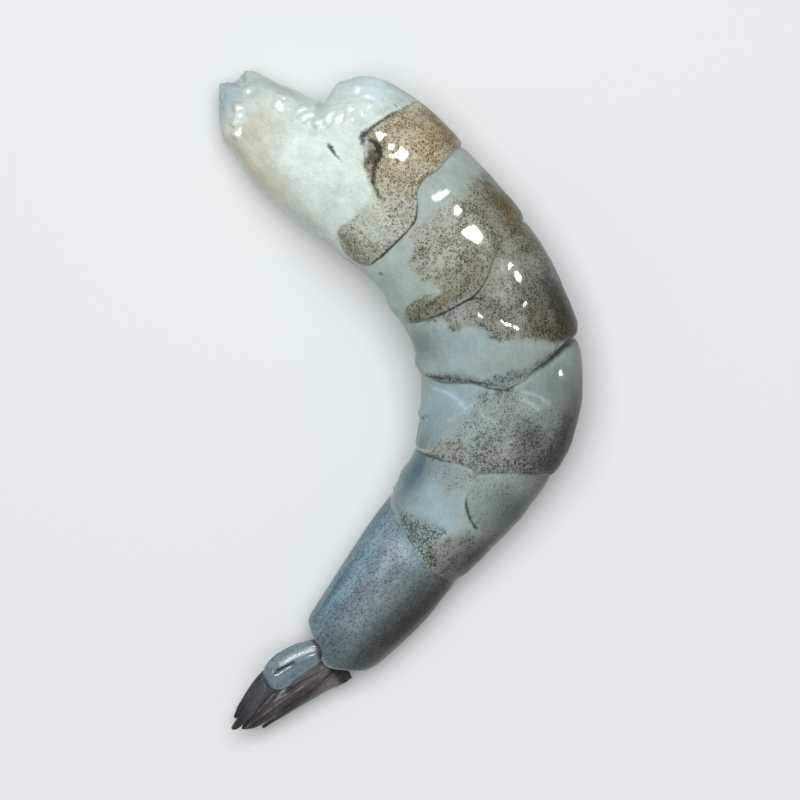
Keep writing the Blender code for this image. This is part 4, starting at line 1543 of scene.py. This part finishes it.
# %% Plate making
FAN_START = 94.5
PLATE_ROWS = 72
PLATE_COLUMNS = 36
INTO_SHELL = 1.0          # each root runs this far into the shell's rear opening
ROOT_SHARE = 1.1          # of a plate's thickness, at its root
THINNING = 0.8            # and how much less of it is left at the tip
ROOT_SWELL = 0.9
ROOT_SPAN = 0.17
BASE_RISE = 0.32
PLATE_LUMPS = 0.05
EDGE_THINNESS = 0.03      # share of the full thickness that is left at the edge, squared


def plate_place(plate):
    """Where the plate's own X (its length), Y (its width) and Z point on the shrimp."""
    root = on_body(FAN_START, plate.root_back, plate.root_up)
    return (
        Matrix.Translation(Vector(root) * MM)
        @ Matrix.Rotation(math.radians(plate.heading), 4, "Z")
        @ Matrix.Rotation(math.radians(-plate.pitch), 4, "Y")
        @ Matrix.Rotation(math.radians(plate.roll), 4, "X")
    )


def drawn_out(grid, outline):
    """The grid's points, in millimetres, drawn out to an outline, and how near the edge each is."""
    tip = outline[-1][0]
    x = -INTO_SHELL + (grid[:, 0] * MM + 0.5) * (tip + INTO_SHELL)
    side = np.sin(np.clip(grid[:, 1] * MM * 2, -1, 1) * math.pi / 2)
    low, high = between(outline, 1, x), between(outline, 2, x)
    return np.stack([x, (low + high) / 2 + side * (high - low) / 2, 0 * x], axis=1), np.abs(side)


def base_cover(plate, points):
    """1 on the plate's thick base, falling to 0 over its rounded edge."""
    if not plate.base:
        return np.zeros(len(points))
    return ramp(-0.12, 0.3, depth_inside(points[:, :2], plate.base))


def new_plate(plate):
    """One plate, lying flat, with its own thickness and ridges."""
    bpy.ops.object.select_all(action="DESELECT")
    bpy.ops.mesh.primitive_grid_add(x_subdivisions=PLATE_ROWS, y_subdivisions=PLATE_COLUMNS, size=1)
    piece = just_added("shrimp_" + plate.node)
    points, edge = drawn_out(read_points(piece), plate.outline)
    part = np.clip(points[:, 0] / plate.outline[-1][0], 0, 1)
    face = 1 if plate.cup > 0 else -1
    base = base_cover(plate, points)
    bend = plate.cup * (1 - edge**2) * np.maximum(part, base)
    ridges = BASE_RISE * base
    for course, width, rise, _ in plate.lines:
        apart, share = distance_to_line(points[:, :2], smooth_line(course))
        ridges += rise * bell(apart, width) * ramp(1.0, 0.8, share)
    points[:, 2] = bend + face * ridges * ramp(1.0, 0.85, edge) * ramp(1.0, 0.9, part)
    points[:, 2] += PLATE_LUMPS * lumps(points, 1.6, 2, 21)
    move_points(piece, points)
    thick = plate.thickness * (ROOT_SHARE - THINNING * part) + ROOT_SWELL * bell(part, ROOT_SPAN)
    group = piece.vertex_groups.new(name="body")
    edge_thin = np.sqrt(np.clip(1 + EDGE_THINNESS - edge**2, EDGE_THINNESS, 1))
    for number, weight in enumerate(thick / thick.max() * edge_thin):
        group.add([number], float(min(weight, 1)), "REPLACE")
    take(piece)
    solid = piece.modifiers.new("body", "SOLIDIFY")
    solid.thickness = float(thick.max()) * MM
    solid.offset = 0
    solid.vertex_group = "body"
    bpy.ops.object.modifier_apply(modifier=solid.name)
    round_off = piece.modifiers.new("round", "SUBSURF")
    round_off.levels = round_off.render_levels = 1
    bpy.ops.object.modifier_apply(modifier=round_off.name)
    return piece


print("a plate starts from", (PLATE_ROWS + 1) * (PLATE_COLUMNS + 1), "points")

# %% [markdown]
# ## The five plates
#
# Each plate is painted from its root to its tip while it still lies flat, then turned to its place on
# the tail. Its slits are dark, its high ridge gets a painted highlight along its crest, its root gets
# painted shade where it runs into the shell, and only the base is fully wet.

# %% Fan plates
JOINT_PAINTED_SHADE = (0.5, -0.2)   # painted shade where each plate runs into the shell, up to here, in millimetres along the plate
BLADE_FILM = 0.2          # the blades carry this share of the base's film of water
CREST_RISE = 0.3          # ridges higher than this get a painted highlight along their crest
FAN_PAINT = {   # root, middle and tip of each plate, and its thick base
    "telson": ("#6E6A66", "#4E4A48", "#393635", "#6E6A66"),
    "uropod_outer_upper": ("#7A8187", "#595E64", "#313538", "#78888F"),
    "uropod_inner_upper": ("#6C6566", "#4F4849", "#363233", "#6C6566"),
    "uropod_outer_lower": ("#787F84", "#5A5F64", "#3E4246", "#7B8A8F"),
    "uropod_inner_lower": ("#7A7575", "#5F595A", "#444041", "#7A7575"),
}
fan_chitin = horny_cuticle("tail_fan_chitin", 0.42, 0.3, "#373537", "wet", 0.06)
for plate in PLATES:
    piece = new_plate(plate)
    local = read_points(piece)
    part = np.clip(local[:, 0] / plate.outline[-1][0], 0, 1)
    root, middle, tip, pale = (linear(c) for c in FAN_PAINT[plate.node])
    to_middle, to_tip = ramp(0.1, 0.45, part)[:, None], ramp(0.6, 1.0, part)[:, None]
    base = base_cover(plate, local)
    paint = blend(blend(blend(root, middle, to_middle), tip, to_tip), pale, base[:, None])
    fan_lines_and_shade = 0.8 * bell(base - 0.2, 0.2) * ramp(0.1, 0.3, part) if plate.base else 0 * part
    for course, width, rise, dark in plate.lines:
        apart, share = distance_to_line(local[:, :2], smooth_line(course))
        fan_lines_and_shade = np.maximum(fan_lines_and_shade, dark * bell(apart, width * 0.8))
        if rise > CREST_RISE:
            # painted highlight along the crest of a high ridge
            crest_highlight = 0.95 * bell(apart, width * 0.85) * ramp(1.0, 0.75, share)
            paint = blend(paint, linear("#E6EEF0"), crest_highlight[:, None])
    # painted shade where the plates run in under the shell's rear lip
    fan_lines_and_shade = np.maximum(fan_lines_and_shade, 0.85 * ramp(*JOINT_PAINTED_SHADE, local[:, 0] - 0.5 * local[:, 1]))
    low, high = between(plate.outline, 1, local[:, 0]), between(plate.outline, 2, local[:, 0])
    to_edge = np.minimum(local[:, 1] - low, high - local[:, 1])
    keep(piece, "tint", paint, "FLOAT_COLOR")
    keep(piece, "lines_and_shade", fan_lines_and_shade)
    keep(piece, "wet", blend(BLADE_FILM, 1, base))
    keep(piece, "rim", 0.45 * ramp(0.35, 0.0, to_edge) * ramp(0.3, 0.6, part))
    keep(piece, "place", local * MM, "FLOAT_VECTOR")
    piece.data.transform(plate_place(plate))
    set_shape(piece, read_points(piece))
    piece.data.materials.append(fan_chitin)
    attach(piece, "root")
    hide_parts(plate.node)
    print(piece.name, len(piece.data.polygons), "faces")

# %% [markdown]
# ## Floor, light and camera
#
# The shrimp is seen from straight above, through a long lens. A wide soft light from overhead gives
# the even shading of the flank. Two small bright lights give the water film its sharp glints.

# %% Stage


def make_floor():
    """A plain sheet of pale paper, large enough to fill the view."""
    bpy.ops.object.select_all(action="DESELECT")
    bpy.ops.mesh.primitive_plane_add(size=3.0, location=(0, 0, 0))
    floor = just_added("pale_floor")
    material, tree, shader, where = new_material("pale_floor_paper")
    fine_bumps(tree, shader, where, 1.5, 2.0, 0.1, 0.05)
    feed(tree, shader, Base_Color=(*linear("#E4E6E6"), 1), Roughness=0.7)
    floor.data.materials.append(material)


def area_light(name, place, size, power, colour):
    """A square soft box that faces the middle of the shrimp."""
    bpy.ops.object.light_add(type="AREA", location=place)
    lamp = just_added(name)
    lamp.data.size = size
    lamp.data.energy = power
    lamp.data.color = linear(colour)
    aim = Vector((0, 0, 0.008)) - Vector(place)
    lamp.rotation_euler = aim.to_track_quat("-Z", "Y").to_euler()
    return lamp


SMALL_LAMPS = (     # place, size and power of the two that only mirror in the film of water
    ("wet_glint", GLINT_LAMP, GLINT_LAMP_SIZE, 0.8),
    ("fan_glint", (0.084, -0.237, 0.39), 0.07, 0.4),
)
make_floor()
bpy.ops.object.select_all(action="DESELECT")
overhead = area_light("overhead_soft_box", (-0.02, 0.08, 0.6), 0.45, 3.8, "#FAFCFD")
overhead.visible_glossy = False
for name, place, size, power in SMALL_LAMPS:
    area_light(name, place, size, power, "#FFFFFF").visible_diffuse = False
world = bpy.context.scene.world or bpy.data.worlds.new("studio")
bpy.context.scene.world = world
world.use_nodes = True
feed(world.node_tree, world.node_tree.nodes["Background"], Color=(*linear("#ECF0F1"), 1), Strength=0.24)
bpy.context.scene.view_settings.view_transform = "Standard"

# %% Camera
LENS = 180                # in millimetres, and the sensor too
SENSOR = 36
FRAME_SHARE = 0.83        # part of the frame's height that the shrimp fills
reach = (cad_high.y - cad_low.y) / FRAME_SHARE / 2
camera_height = reach / (SENSOR / 2 / LENS) + (cad_high.z + cad_low.z) / 2
bpy.ops.object.camera_add(location=(0, 0, camera_height), rotation=(0, 0, 0))
camera = bpy.context.object
camera.data.lens = LENS
camera.data.sensor_width = SENSOR
camera.data.clip_start = 0.01
bpy.context.scene.camera = camera
print("camera at", round(camera_height / MM), "mm above the floor")
